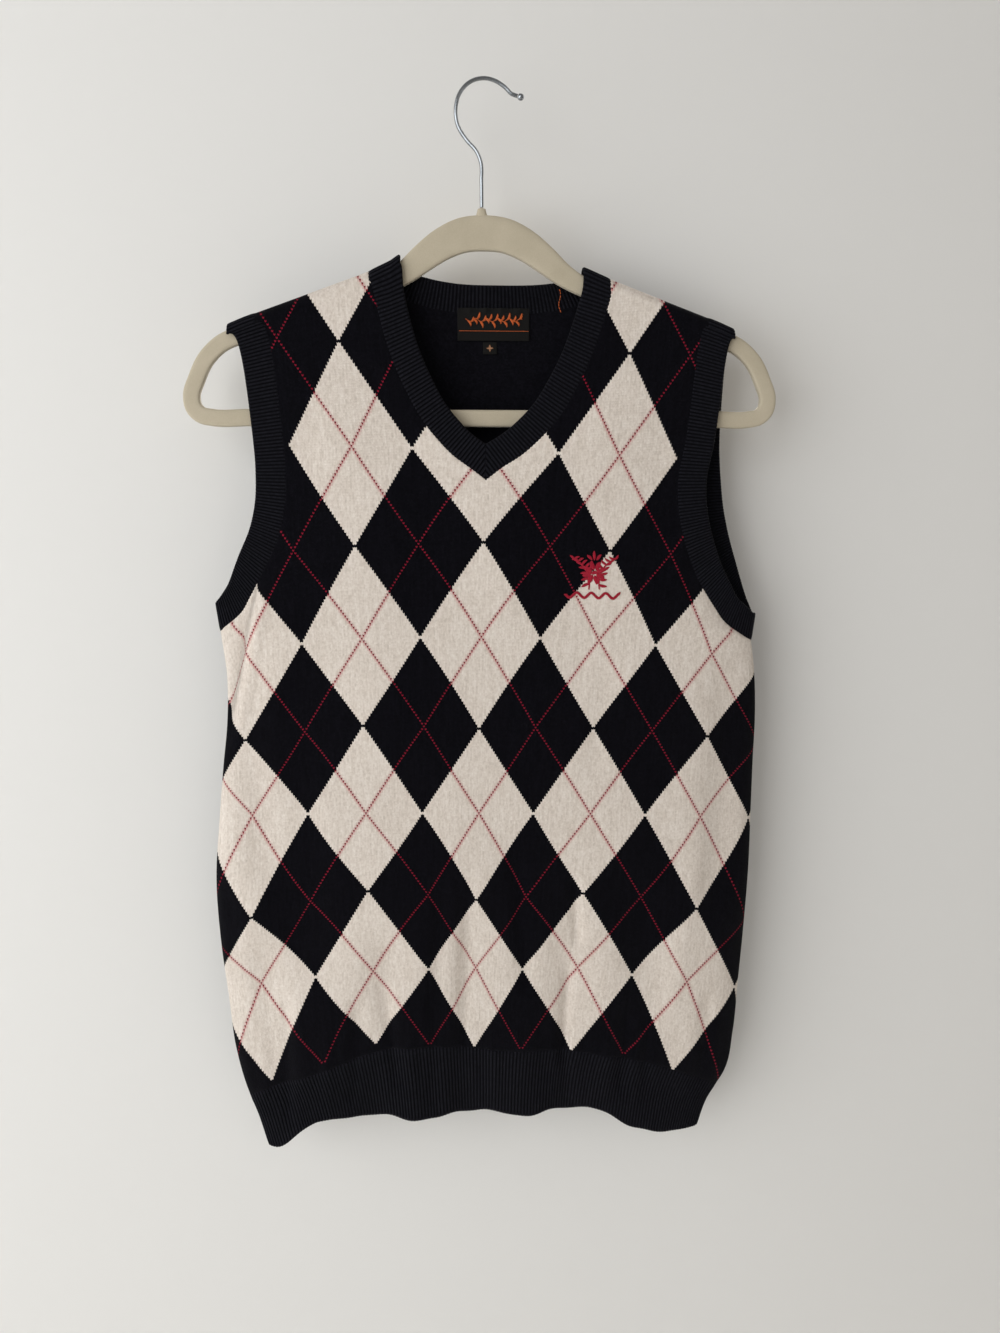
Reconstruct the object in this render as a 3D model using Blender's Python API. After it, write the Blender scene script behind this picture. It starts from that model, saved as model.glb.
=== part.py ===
"""A V-neck knitted sweater vest, hanging flat on a flocked clothes hanger with a wire hook.

The origin is under the crown of the hook, where it bears on whatever holds it up. The front
faces -Y, +X is to the right seen from the front, and +Z is up. Sizes are in millimetres, and
a mesh turns them into metres when it is written.

The garment is one middle surface, cut into its knitted pieces. The pieces share their normals
along each seam, so their cut edges face each other across an even gap.
"""

import math

import bmesh
import bpy
import numpy as np
from mathutils import Vector
from mathutils.bvhtree import BVHTree

MM = 0.001

# Cloth
PANEL_WALL = 2.0
RIB_WALL = 2.4
LABEL_WALL = 1.0
SEAM_GAP = 0.3

# Heights on the centre line of the front, below the hook's crown
V_POINT = -281.0
CHEST_LINE = -385.0
RIB_TOP = -736.0
HEM = -793.0
BACK_NECK = -158.5

# Widths of the bands
NECK_BAND = 20.5
ARM_BAND = 21.5
BACK_NECK_LEAN = 6.0

# The cloth's roll over the hanger's arm
ROLL_RISE = 7.0
ROLL_DEPTH = 7.0
CLEAR_OF_HANGER = 3.4

# Share of the armhole's height that lies below the point of the V, and below the back neck
ARM_AT_V = 0.46
ARM_AT_BACK_NECK = 0.86
NECK_SHIFT = 3.3

# Share of the neck edge along which the mitre at the V's point cuts the band's ribs
MITRE_SHARE = 0.07

# Rows and columns of the panels
BODY_ROWS = 11
CHEST_SHARES = (0.05, 0.13, 0.25, 0.42, 0.68, 1.0)
YOKE_SHARES = (0.035, 0.07, 0.14, 0.22, 0.31, 0.42, 0.54, 0.67, 0.80, 0.91, 1.0)
BACK_YOKE_ROWS = 5
SCOOP_ROWS = 5
ROLL_ROWS = 4
HEM_ROWS = 3
HALF_COLUMNS = 11
BAND_COLUMNS = 2

# Underarm and side seam, per side: height of the underarm, of the rib's top and of the hem;
# the hem drops towards the side between two shares of the half width
SIDE_HEIGHTS = {
    "left": {"underarm": -393.5, "rib_top": -775.0, "hem": -822.0, "droop": (0.76, 0.97)},
    "right": {"underarm": -405.0, "rib_top": -781.0, "hem": -819.0, "droop": (0.45, 0.85)},
}

# The rib's seam rides up left of the middle: height, where, half width, share of the body
RIB_RIDE = (8.0, -72.0, 52.0, 0.25)

# Side seam: height, and how far out it lies on the left and on the right
SIDE_SEAM = {
    "height": (-822, -795, -770, -735, -690, -640, -590, -540, -500, -465, -430, -393),
    "left": (181, 188, 196.5, 204, 208, 212.3, 213.4, 208.5, 204, 199.5, 198, 201.5),
    "right": (177, 185.5, 200, 205.8, 208.5, 211.5, 213.6, 213.8, 214, 214.5, 212.5, 207),
}

# Armhole seam: share of its height, how far out it lies on each panel and side,
# and the slope of the band's ribs in degrees
ARMHOLE = {
    "share": (0.0, 0.06, 0.115, 0.18, 0.30, 0.42, 0.52, 0.65, 0.88, 1.0),
    "front_left": (201.5, 185, 177.5, 169.5, 156, 149.2, 147.8, 149, 157.4, 166.3),
    "front_right": (207.5, 187, 177, 167, 154.5, 147.5, 146, 151, 160, 166.3),
    "back_left": (201.5, 188, 180, 171.5, 158, 151, 149.5, 151, 158, 166.3),
    "back_right": (207.5, 197, 190, 183, 172, 165, 162, 160, 163, 166.3),
    "rib_slope": (83, 66, 55, 44, 24, 8, 0, -7, -13, -20),
}

# Neck edge of the front: share of its height above the V, half width, slope of the ribs
NECK = {
    "share": (0.0, 0.064, 0.12, 0.206, 0.286, 0.418, 0.567, 0.723, 0.879, 1.0),
    "half_width": (0.0, 12, 23.3, 36, 46, 58.4, 70, 78.4, 84, 87.3),
    "right_bulge": (0.0, 1.4, 2.4, 3.4, 4.2, 4.6, 5.0, 5.6, 5.6, 2.0),
    "rib_slope": (53, 52, 49, 43, 37, 31, 25, 17.6, 13, 22),
}
BACK_NECK_CURVE = {"left": 2.0, "right": 3.5}

# How far the cloth stands out from the plane of the seams, by height
DEPTH = {
    "height": (-822, -742, -620, -500, -385, -281, -200, -140),
    "front": (14, 20, 23, 21, 17, 13, 9.5, 7),
    "back": (10, 12, 13, 13, 12.5, 12, 12, 9),
}
ARM_DEPTH = 8.5
ARM_ROUNDING = 0.3

# Cross section from the middle to the side: depth = (1 - share ** power) ** root. A round
# fold below the armhole, nearly flat above it; heights are in stretches of the panel
FOLD_ENDS = 0.5
FLAT_FROM = 1.9
SECTION_POWER = (5.0, 3.6)
SECTION_ROOT = (0.5, 0.85)

# Share of the armhole's height where the cloth starts to follow the hanger's slope
SLOPE_FROM = 0.6
TOP_FROM = 0.75

# How much a panel's rows lag behind its side: more on the body, less on the yoke
ROW_LAG = (2.5, 1.2)

# Back neckband: slope of its ribs at the middle and at the shoulder, in degrees
BACK_RIB_SLOPE = (90.0, 22.0)
BACK_BAND_LOSS = 0.07
BACK_NECK_FLATNESS = 0.75

# A fold runs on past the ends of its line, and fades there
FOLD_OVERRUN = 0.2
FOLD_FOOT_FADE = 4.0
FOLD_HEAD_FADE = 3.0

# Main soft folds of the front: foot and head of the line (x, z), half width, depth
# into the hollow; a ridge has a negative depth
FOLDS = {
    "left underarm": (-176, -560, -188, -400, 16, 5.0),
    "left waist": (-150, -640, -140, -430, 34, 6.0),
    "left hem": (-172, -770, -178, -650, 15, 6.0),
    "right waist": (186, -600, 192, -440, 17, 6.0),
    "right hem": (140, -770, 120, -600, 22, 4.5),
    "middle left": (-92, -790, -80, -640, 16, 4.0),
    "middle": (-16, -790, -10, -620, 18, 5.0),
    "middle right": (62, -790, 66, -610, 18, 4.5),
}
BACK_FOLDS = {
    "left back": (-120, -790, -96, -520, 26, 5.0),
    "middle back": (-10, -790, 6, -560, 22, 4.0),
    "right back": (104, -790, 88, -480, 26, 5.0),
}

# Label inside the back neck, and the tab under it: left, right, top and foot
LABEL = {"left": -19.5, "right": 34.0, "top": -154.5, "foot": -177.5, "columns": 10, "rows": 5}
TAB = {"left": -0.5, "right": 9.5, "top": -178.6, "foot": -187.0, "columns": 4, "rows": 3}
LABEL_CLEARANCE = 0.5

# Hanger: middle of the band from the arch round one end to the bar, and its width
HANGER_HALF = {
    "x": (0, 15.6, 30.2, 44.3, 57.6, 70, 92, 135, 175, 193, 204, 211, 215.3, 214, 209, 201, 175, 110),
    "z": (
        -103.6, -105.2, -111.4, -121.1, -131.4, -138.6, -145.8, -161, -175.2,
        -183.2, -194, -207.5, -220, -228.3, -233.4, -235.2, -235.2, -235.2,
    ),
    "width": (
        24.6, 24.0, 22.2, 19.6, 16.2, 13.8, 13, 12.8, 12.6, 12.2, 12.2, 12.2, 12.2, 12.4,
        12.4, 12.4, 12.4, 12.4,
    ),
}
HANGER_DEPTH = 7.0
HANGER_CHAMFER = 1.6
HANGER_STATIONS = 88
ARM_TOP = {
    "x": (0, 16, 31, 45, 58, 70, 92, 135, 175, 195),
    "z": (-91.4, -93.4, -101, -112, -122.6, -130.3, -138.4, -154, -168.4, -176.8),
}
NUB_TOP = -86.0
NUB_TOP_HALF = 3.0
NUB_FOOT = -96.0
NUB_FOOT_HALF = 9.0

# Hook: middle of the wire from the free end to the nub
HOOK_WIRE = 2.8
HOOK_ROUTE = {
    "x": (24.4, 20.5, 15.5, 8.5, 0, -9.5, -16.5, -20, -18.8, -12.5, -5.2, -2.2, -1.8, -1.7),
    "z": (-9.9, -8.8, -4.4, -0.2, 1.4, -1.2, -8, -19, -30, -40, -47.8, -55, -68, -85.7),
}
HOOK_POINTS = 60
BALL_RADIUS = 2.5

SMOOTH_BELOW = 40.0

COLOURS = {
    "front_panel": (0.60, 0.56, 0.50),
    "back_panel": (0.006, 0.006, 0.012),
    "neck_rib": (0.005, 0.005, 0.009),
    "armhole_rib_left": (0.005, 0.005, 0.009),
    "armhole_rib_right": (0.005, 0.005, 0.009),
    "hem_rib": (0.005, 0.005, 0.009),
    "neck_label": (0.004, 0.004, 0.004),
    "size_tab": (0.004, 0.004, 0.004),
    "hanger_body": (0.42, 0.37, 0.29),
    "hanger_hook": (0.62, 0.64, 0.66),
    "hook_ball": (0.62, 0.64, 0.66),
}


def smooth(knots, values, at):
    """A cubic through the knots, with a slope at each taken from its neighbours."""
    knots = np.asarray(knots, float)
    values = np.asarray(values, float)
    slopes = np.gradient(values, knots)
    at = np.clip(at, knots[0], knots[-1])
    left = np.clip(np.searchsorted(knots, at, side="right") - 1, 0, len(knots) - 2)
    width = knots[left + 1] - knots[left]
    u = (at - knots[left]) / width
    rise = values[left + 1] - values[left]
    bend_in = slopes[left] * width - rise
    bend_out = rise - slopes[left + 1] * width
    return values[left] + u * rise + u * (1 - u) * ((1 - u) * bend_in + u * bend_out)


def blend(start, end, share):
    return start + (end - start) * share


def ease(share):
    share = np.clip(share, 0, 1)
    return share * share * (3 - 2 * share)


def shoulder_line(x):
    """Height of the cloth's middle surface on top of the hanger's arm."""
    return np.interp(abs(x), ARM_TOP["x"], ARM_TOP["z"]) + CLEAR_OF_HANGER


def fold_depth(folds, x, z):
    """How far the folds press the cloth in: a bell across each line, faded at its ends."""
    total = np.zeros(np.broadcast(x, z).shape)
    for foot_x, foot_z, head_x, head_z, half_width, depth in folds.values():
        along = (z - foot_z) / (head_z - foot_z)
        on_line = np.clip(along, -FOLD_OVERRUN, 1 + FOLD_OVERRUN)
        middle = blend(foot_x, head_x, on_line)
        fade = ease(along * FOLD_FOOT_FADE + 1)
        fade = fade * ease((1 - along + FOLD_OVERRUN) * FOLD_HEAD_FADE)
        total = total + depth * fade * np.exp(-(((x - middle) / half_width) ** 2))
    return total


def armhole_height(side, share):
    """Height of the armhole seam at a share of its rise from the underarm to the roll."""
    underarm = SIDE_HEIGHTS[side]["underarm"]
    foot_of_roll = shoulder_line(ARMHOLE["front_left"][-1]) - ROLL_RISE
    return blend(underarm, foot_of_roll, share)


def past_mitre(share):
    """Share of the neck edge above the mitre, where its two sides may differ."""
    return np.clip((share - MITRE_SHARE) / (1 - MITRE_SHARE), 0, 1)


def neck_half_width(side, share):
    half_width = smooth(NECK["share"], NECK["half_width"], share)
    if side == "left":
        return half_width - NECK_SHIFT * past_mitre(share)
    bulge = smooth(NECK["share"], NECK["right_bulge"], past_mitre(share))
    return half_width + NECK_SHIFT * past_mitre(share) + bulge


def rib_ride(x, t):
    """How far the rib's seam is drawn up at x; it fades out up the body."""
    height, middle, spread, reach = RIB_RIDE
    return height * np.exp(-(((x - middle) / spread) ** 2)) * ease(1 - t / reach)


def arm_depth(share):
    """Depth of the armhole seam: nothing at the underarm, rounding out to the full depth."""
    rounding = np.clip(1 - share / ARM_ROUNDING, 0, 1)
    full = blend(ARM_DEPTH, ROLL_DEPTH, ease((share - SLOPE_FROM) / (1 - SLOPE_FROM)))
    return full * np.sqrt(1 - rounding**3)


def stretches(t, count):
    """Share of each stretch of a panel's height that lies below t, with t in stretches."""
    return [np.clip(t - k, 0, 1) for k in range(count)]


class Half:
    """One half of the front or of the back, from the centre line out to one side."""

    def __init__(self, face, side):
        self.face = face
        self.side = side
        self.sign = -1.0 if side == "left" else 1.0
        self.out = -1.0 if face == "front" else 1.0
        self.steps = 4 if face == "front" else 5

    def parts(self, t):
        """Body, chest, yoke, scoop and roll shares, and the armhole's share."""
        shares = stretches(t, self.steps)
        if self.face == "front":
            body, chest, yoke, roll = shares
            return body, chest, yoke, yoke, roll, chest * ARM_AT_V + yoke * (1 - ARM_AT_V)
        body, chest, yoke, scoop, roll = shares
        arm = (
            chest * ARM_AT_V
            + yoke * (ARM_AT_BACK_NECK - ARM_AT_V)
            + scoop * (1 - ARM_AT_BACK_NECK)
        )
        return body, chest, yoke, scoop, roll, arm

    def inner(self, t):
        """Distance out and height of the row's inner end: the centre line or neck edge."""
        body, chest, yoke, scoop, _, _ = self.parts(t)
        top_width = neck_half_width(self.side, 1.0)
        top = shoulder_line(top_width) - ROLL_RISE
        z = blend(RIB_TOP, CHEST_LINE, body) + chest * (V_POINT - CHEST_LINE)
        if self.face == "front":
            mean_top = shoulder_line(NECK["half_width"][-1]) - ROLL_RISE
            z = z + yoke * (mean_top - V_POINT) + past_mitre(yoke) * (top - mean_top)
            return neck_half_width(self.side, yoke), z
        power = BACK_NECK_CURVE[self.side]
        reach = np.sin(scoop * math.pi / 2)
        rise = 1 - (1 - reach**power) ** BACK_NECK_FLATNESS
        z = z + yoke * (BACK_NECK - V_POINT) + rise * (top - BACK_NECK)
        return reach * top_width, z

    def outer(self, t):
        """Distance out and height of the row's outer end: the side or armhole seam."""
        body, _, _, _, _, arm = self.parts(t)
        heights = SIDE_HEIGHTS[self.side]
        side_z = blend(heights["rib_top"], heights["underarm"], body)
        side_x = smooth(SIDE_SEAM["height"], SIDE_SEAM[self.side], side_z)
        arm_x = smooth(ARMHOLE["share"], ARMHOLE[self.face + "_" + self.side], arm)
        arm_z = armhole_height(self.side, arm)
        return np.where(arm > 0, arm_x, side_x), np.where(arm > 0, arm_z, side_z)

    def depth(self, t, s, x, z):
        """Distance of the cloth from the plane of the seams."""
        body, chest, yoke, scoop, roll, arm = self.parts(t)
        folds = FOLDS if self.face == "front" else BACK_FOLDS
        middle = smooth(DEPTH["height"], DEPTH[self.face], z)
        middle = middle - fold_depth(folds, self.sign * x, z)
        near_top = ease((arm - TOP_FROM) / (1 - TOP_FROM))
        middle = blend(middle, ROLL_DEPTH, near_top if self.face == "front" else near_top**3)
        edge = np.where(arm > 0, arm_depth(arm), 0.0)
        flat = ease((t - FOLD_ENDS) / (FLAT_FROM - FOLD_ENDS))
        shape = (1 - s ** blend(*SECTION_POWER, flat)) ** blend(*SECTION_ROOT, flat)
        return edge + (middle - edge) * shape

    def point(self, x, y, z, t):
        """The point in space, with the top stretch rolled over the hanger's arm."""
        roll = self.parts(t)[4] * math.pi / 2
        rolled = shoulder_line(x) - ROLL_RISE * (1 - np.sin(roll))
        z = np.where(roll > 0, rolled, z)
        y = np.where(roll > 0, y * np.cos(roll), y)
        x, y, z = np.broadcast_arrays(self.sign * x, self.out * y, z)
        return np.stack([x, y, z], axis=-1)

    def settle(self, z, x, t, s):
        """Brings the rows near the shoulder onto the slope of the hanger's arm."""
        _, _, _, scoop, _, arm = self.parts(t)
        sloping = ease((arm - SLOPE_FROM) / (1 - SLOPE_FROM)) ** 2
        share = blend(scoop**4, sloping, s**3)
        return blend(z, shoulder_line(x) - ROLL_RISE, share)

    def panel(self, t, s):
        """The panel at heights t and shares s of the way out."""
        in_x, in_z = self.inner(t)
        out_x, out_z = self.outer(t)
        x = blend(in_x, out_x, s)
        bend = blend(*ROW_LAG, ease(t - 1))
        z = self.settle(blend(in_z, out_z, s**bend), x, t, s)
        z = z + rib_ride(self.sign * x, t)
        return self.point(x, self.depth(t, s, x, z), z, t)

    def neck_band(self, t, w):
        """The neckband, from its seam to the neck opening; the V's point is mitred."""
        _, _, _, scoop, _, _ = self.parts(t)
        seam_x, seam_z = self.inner(t)
        if self.face == "front":
            slope = np.radians(smooth(NECK["share"], NECK["rib_slope"], scoop))
            mitred = seam_x / np.cos(slope)
            width = np.where(scoop > MITRE_SHARE, np.minimum(NECK_BAND, mitred), mitred)
            lean = 0.0
        else:
            slope = np.radians(blend(*BACK_RIB_SLOPE, scoop**1.5))
            width = NECK_BAND * (1 - BACK_BAND_LOSS * (1 - scoop))
            lean = BACK_NECK_LEAN * (1 - scoop) ** 2
        x = seam_x - w * width * np.cos(slope)
        z = self.settle(seam_z + w * width * np.sin(slope), x, t, 0)
        depth = self.depth(t, 0.0, seam_x, self.settle(seam_z, seam_x, t, 0))
        return self.point(x, depth - w * lean, z, t)

    def arm_band(self, t, w):
        """The armhole band, from its seam to the arm's opening."""
        arm = self.parts(t)[5]
        out_x, out_z = self.outer(t)
        slope = np.radians(smooth(ARMHOLE["share"], ARMHOLE["rib_slope"], arm))
        x = out_x + w * ARM_BAND * np.cos(slope)
        z = self.settle(out_z + w * ARM_BAND * np.sin(slope), x, t, 1)
        return self.point(x, arm_depth(arm) + 0 * w, z, t)

    def hem_band(self, h, s):
        """The hem band, h from its seam down to its edge, s from the middle to the side."""
        heights = SIDE_HEIGHTS[self.side]
        top = self.panel(np.zeros_like(h), s)
        side_z = blend(heights["rib_top"], heights["hem"], h)
        side_x = smooth(SIDE_SEAM["height"], SIDE_SEAM[self.side], side_z)
        top_x = smooth(SIDE_SEAM["height"], SIDE_SEAM[self.side], heights["rib_top"])
        droop_from, droop_to = heights["droop"]
        foot_z = blend(HEM, heights["hem"], ease((s - droop_from) / (droop_to - droop_from)))
        x = abs(top[..., 0]) * side_x / top_x
        z = blend(top[..., 2], foot_z, h)
        return self.point(x, self.depth(np.zeros_like(h), s, x, z), z, 0 * h)


def spread(count, crowding):
    """Shares from 0 to 1, crowded towards 1."""
    return 1 - (1 - np.linspace(0, 1, count + 1)) ** crowding


def rows(*stretches_of_rows):
    """Row heights, from the number of even rows in each stretch or from their shares."""
    t = [0.0]
    for stretch, wanted in enumerate(stretches_of_rows):
        even = isinstance(wanted, int)
        t += [stretch + share for share in (spread(wanted, 1)[1:] if even else wanted)]
    return np.array(t)[:, None]


class Surface:
    """The garment's middle surface: one mesh, with the name of its piece on each face."""

    def __init__(self):
        self.mesh = bmesh.new()
        self.piece = self.mesh.faces.layers.int.new("piece")
        self.names = []

    def add(self, name, grid, turned):
        """Adds a grid of points, whose faces point out of the garment."""
        if name not in self.names:
            self.names.append(name)
        rows_up, columns = grid.shape[:2]
        verts = [[self.mesh.verts.new(p) for p in row] for row in grid]
        for r in range(rows_up - 1):
            for c in range(columns - 1):
                corners = [verts[r][c], verts[r][c + 1], verts[r + 1][c + 1], verts[r + 1][c]]
                if turned:
                    corners.reverse()
                self.mesh.faces.new(corners)[self.piece] = self.names.index(name)

    def join(self):
        bmesh.ops.remove_doubles(self.mesh, verts=self.mesh.verts, dist=0.01)
        bmesh.ops.dissolve_degenerate(self.mesh, edges=self.mesh.edges, dist=0.01)
        self.mesh.verts.index_update()
        self.mesh.normal_update()


def garment_surface():
    surface = Surface()
    across = spread(HALF_COLUMNS, 1.5)[None, :]
    over = np.linspace(0, 1, BAND_COLUMNS + 1)[None, :]
    down = np.linspace(0, 1, HEM_ROWS + 1)[:, None]
    for face in ("front", "back"):
        for side in ("left", "right"):
            half = Half(face, side)
            if face == "front":
                t = rows(BODY_ROWS, CHEST_SHARES, YOKE_SHARES, ROLL_ROWS)
                neck_from = 2
            else:
                t = rows(BODY_ROWS, CHEST_SHARES, BACK_YOKE_ROWS, SCOOP_ROWS, ROLL_ROWS)
                neck_from = 3
            turned = half.sign * half.out > 0
            neck_t = t[t[:, 0] >= neck_from]
            arm_t = t[t[:, 0] >= 1]
            surface.add(face + "_panel", half.panel(t, across), turned)
            surface.add("neck_rib", half.neck_band(neck_t, over), not turned)
            surface.add("armhole_rib_" + side, half.arm_band(arm_t, over), turned)
            surface.add("hem_rib", half.hem_band(down, across), not turned)
    surface.join()
    return surface


def material(name):
    colour = COLOURS[name]
    made = bpy.data.materials.new(name)
    made.use_nodes = True
    shader = made.node_tree.nodes["Principled BSDF"]
    shader.inputs["Base Color"].default_value = (*colour, 1.0)
    metal = name in ("hanger_hook", "hook_ball")
    shader.inputs["Metallic"].default_value = 1.0 if metal else 0.0
    shader.inputs["Roughness"].default_value = 0.2 if metal else 0.9
    return made


def make_object(name, bm, finish=None):
    """Turns a bmesh in millimetres into a named object in metres."""
    bmesh.ops.scale(bm, vec=(MM, MM, MM), verts=bm.verts)
    mesh = bpy.data.meshes.new(name)
    bm.to_mesh(mesh)
    bm.free()
    mesh.materials.append(material(finish or name))
    mesh.shade_smooth()
    mesh.set_sharp_from_angle(angle=math.radians(SMOOTH_BELOW))
    obj = bpy.data.objects.new(name, mesh)
    bpy.context.scene.collection.objects.link(obj)
    return obj


def pulled_in(face_set, vert):
    """Where a cut edge's point goes, so that half the seam gap lies on each side."""
    inward = []
    for edge in vert.link_edges:
        inside = [f for f in edge.link_faces if f in face_set]
        if len(inside) != 1:
            continue
        along = (edge.verts[1].co - edge.verts[0].co).normalized()
        across = vert.normal.cross(along).normalized()
        if across.dot(inside[0].calc_center_median() - edge.verts[0].co) < 0:
            across = -across
        inward.append(across)
    if not inward:
        return vert.co.copy()
    mean = sum(inward, Vector()).normalized()
    stretch = max(mean.dot(inward[0]), 0.5)
    return vert.co + mean * (SEAM_GAP / 2 / stretch)


def wall_piece(surface, name, wall):
    """Cuts one piece from the middle surface and gives it its thickness.

    Along a seam both pieces split their cut edge the same way, so that the gap stays open.
    """
    index = surface.names.index(name)
    faces = [f for f in surface.mesh.faces if f[surface.piece] == index]
    face_set = set(faces)
    verts = sorted({v for f in faces for v in f.verts}, key=lambda v: v.index)
    made = bmesh.new()
    skins = []
    for offset in (wall / 2, -wall / 2):
        skins.append(
            {v: made.verts.new(pulled_in(face_set, v) + v.normal * offset) for v in verts}
        )
    outside, inside = skins
    for f in faces:
        made.faces.new([outside[v] for v in f.verts])
        made.faces.new([inside[v] for v in reversed(f.verts)])
        for loop in f.loops:
            if sum(other in face_set for other in loop.edge.link_faces) == 1:
                a, b = loop.vert, loop.link_loop_next.vert
                if a.index < b.index:
                    made.faces.new([outside[b], outside[a], inside[b]])
                    made.faces.new([outside[a], inside[a], inside[b]])
                else:
                    made.faces.new([outside[b], outside[a], inside[a]])
                    made.faces.new([outside[b], inside[a], inside[b]])
    return make_object(name, made)


def patch_on_back(surface, name, place, clearance):
    """A flat label that lies on the inside of the back: the back's own points, moved out."""
    tree = BVHTree.FromBMesh(surface.mesh)
    made = bmesh.new()
    xs = np.linspace(place["left"], place["right"], place["columns"] + 1)
    zs = np.linspace(place["foot"], place["top"], place["rows"] + 1)
    skins = []
    for lift in (clearance, clearance + LABEL_WALL):
        skin = []
        for z in zs:
            row = []
            for x in xs:
                hit, normal, _, _ = tree.ray_cast(Vector((x, 0, z)), Vector((0, 1, 0)))
                row.append(made.verts.new(hit + Vector((0, -1, 0)) * lift / abs(normal.y)))
            skin.append(row)
        skins.append(skin)
    back, front = skins
    height, width = len(zs), len(xs)
    for r in range(height - 1):
        for c in range(width - 1):
            made.faces.new([front[r][c], front[r][c + 1], front[r + 1][c + 1], front[r + 1][c]])
            made.faces.new([back[r + 1][c], back[r + 1][c + 1], back[r][c + 1], back[r][c]])
    border = [(0, c) for c in range(width)] + [(r, width - 1) for r in range(1, height)]
    border += [(height - 1, c) for c in range(width - 2, -1, -1)]
    border += [(r, 0) for r in range(height - 2, 0, -1)]
    for k, (r, c) in enumerate(border):
        nr, nc = border[(k + 1) % len(border)]
        made.faces.new([front[nr][nc], front[r][c], back[r][c], back[nr][nc]])
    return make_object(name, made)


def hanger_loop():
    """Middle of the hanger's band, right round the closed loop, and its width."""
    x = np.array(HANGER_HALF["x"], float)
    z = np.array(HANGER_HALF["z"], float)
    width = np.array(HANGER_HALF["width"], float)
    x = np.concatenate([x, -x[:0:-1]])
    z = np.concatenate([z, z[:0:-1]])
    width = np.concatenate([width, width[:0:-1]])
    ring = np.stack([np.append(a, a[0]) for a in (x, z, width)], axis=1)
    run = np.concatenate([[0], np.cumsum(np.hypot(*np.diff(ring[:, :2], axis=0).T))])
    at = np.linspace(0, run[-1], HANGER_STATIONS + 1)[:-1]
    lap = run[-1]
    knots = np.concatenate([run[-4:-1] - lap, run, run[1:4] + lap])
    laps = np.concatenate([ring[-4:-1], ring, ring[1:4]])
    return np.stack([smooth(knots, laps[:, k], at) for k in range(3)], axis=1)


def hanger_body():
    """The flocked body: a chamfered bar carried round the loop, with a nub for the wire."""
    loop = hanger_loop()
    made = bmesh.new()
    ahead = np.roll(loop[:, :2], -1, axis=0) - np.roll(loop[:, :2], 1, axis=0)
    ahead /= np.linalg.norm(ahead, axis=1)[:, None]
    half_depth = HANGER_DEPTH / 2
    rings = []
    for (x, z, width), (ahead_x, ahead_z) in zip(loop, ahead):
        half = width / 2
        cut = HANGER_CHAMFER
        section = [
            (half, -half_depth + cut), (half, half_depth - cut),
            (half - cut, half_depth), (cut - half, half_depth),
            (-half, half_depth - cut), (-half, -half_depth + cut),
            (cut - half, -half_depth), (half - cut, -half_depth),
        ]
        rings.append(
            [made.verts.new((x - a * ahead_z, y, z + a * ahead_x)) for a, y in section]
        )
    for k, ring in enumerate(rings):
        following = rings[(k + 1) % len(rings)]
        for j in range(len(ring)):
            n = (j + 1) % len(ring)
            made.faces.new([ring[j], ring[n], following[n], following[j]])
    bmesh.ops.recalc_face_normals(made, faces=made.faces)
    body = make_object("hanger_body", made)
    nub = bmesh.new()
    bmesh.ops.create_cone(
        nub, cap_ends=True, segments=24, radius1=NUB_FOOT_HALF, radius2=NUB_TOP_HALF,
        depth=NUB_TOP - NUB_FOOT,
    )
    bmesh.ops.scale(nub, vec=(1, 0.36, 1), verts=nub.verts)
    middle = (HOOK_ROUTE["x"][-1], 0, (NUB_TOP + NUB_FOOT) / 2)
    bmesh.ops.translate(nub, vec=middle, verts=nub.verts)
    cutter = make_object("hanger_body_nub", nub, "hanger_body")
    cutter.hide_render = True
    cutter.display_type = "WIRE"
    union = body.modifiers.new("nub", "BOOLEAN")
    union.operation = "UNION"
    union.object = cutter
    return body


def hanger_hook():
    """The wire: a round tube along a smooth curve in the hanger's plane."""
    x = np.array(HOOK_ROUTE["x"], float)
    z = np.array(HOOK_ROUTE["z"], float)
    run = np.concatenate([[0], np.cumsum(np.hypot(np.diff(x), np.diff(z)))])
    at = np.linspace(0, run[-1], HOOK_POINTS)
    curve = bpy.data.curves.new("hanger_hook", "CURVE")
    curve.dimensions = "3D"
    curve.bevel_depth = HOOK_WIRE / 2 * MM
    curve.bevel_resolution = 3
    curve.use_fill_caps = True
    spline = curve.splines.new("POLY")
    spline.points.add(HOOK_POINTS - 1)
    for point, px, pz in zip(spline.points, smooth(run, x, at), smooth(run, z, at)):
        point.co = (px * MM, 0, pz * MM, 1)
    curve.materials.append(material("hanger_hook"))
    obj = bpy.data.objects.new("hanger_hook", curve)
    bpy.context.scene.collection.objects.link(obj)
    return obj


def hook_ball():
    """The ball on the wire's free end, its near side cut flat to face the wire."""
    tip = Vector((HOOK_ROUTE["x"][0], 0, HOOK_ROUTE["z"][0]))
    back = Vector((HOOK_ROUTE["x"][1], 0, HOOK_ROUTE["z"][1]))
    away = (tip - back).normalized()
    made = bmesh.new()
    bmesh.ops.create_icosphere(made, subdivisions=2, radius=BALL_RADIUS)
    flat = -BALL_RADIUS * 0.8
    middle = tip + away * (SEAM_GAP - flat)
    bmesh.ops.translate(made, vec=middle, verts=made.verts)
    bmesh.ops.bisect_plane(
        made, geom=made.verts[:] + made.edges[:] + made.faces[:],
        plane_co=tip + away * SEAM_GAP, plane_no=-away, clear_outer=True,
    )
    open_edges = [e for e in made.edges if e.is_boundary]
    bmesh.ops.contextual_create(made, geom=open_edges)
    bmesh.ops.recalc_face_normals(made, faces=made.faces)
    return make_object("hook_ball", made)


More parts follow.
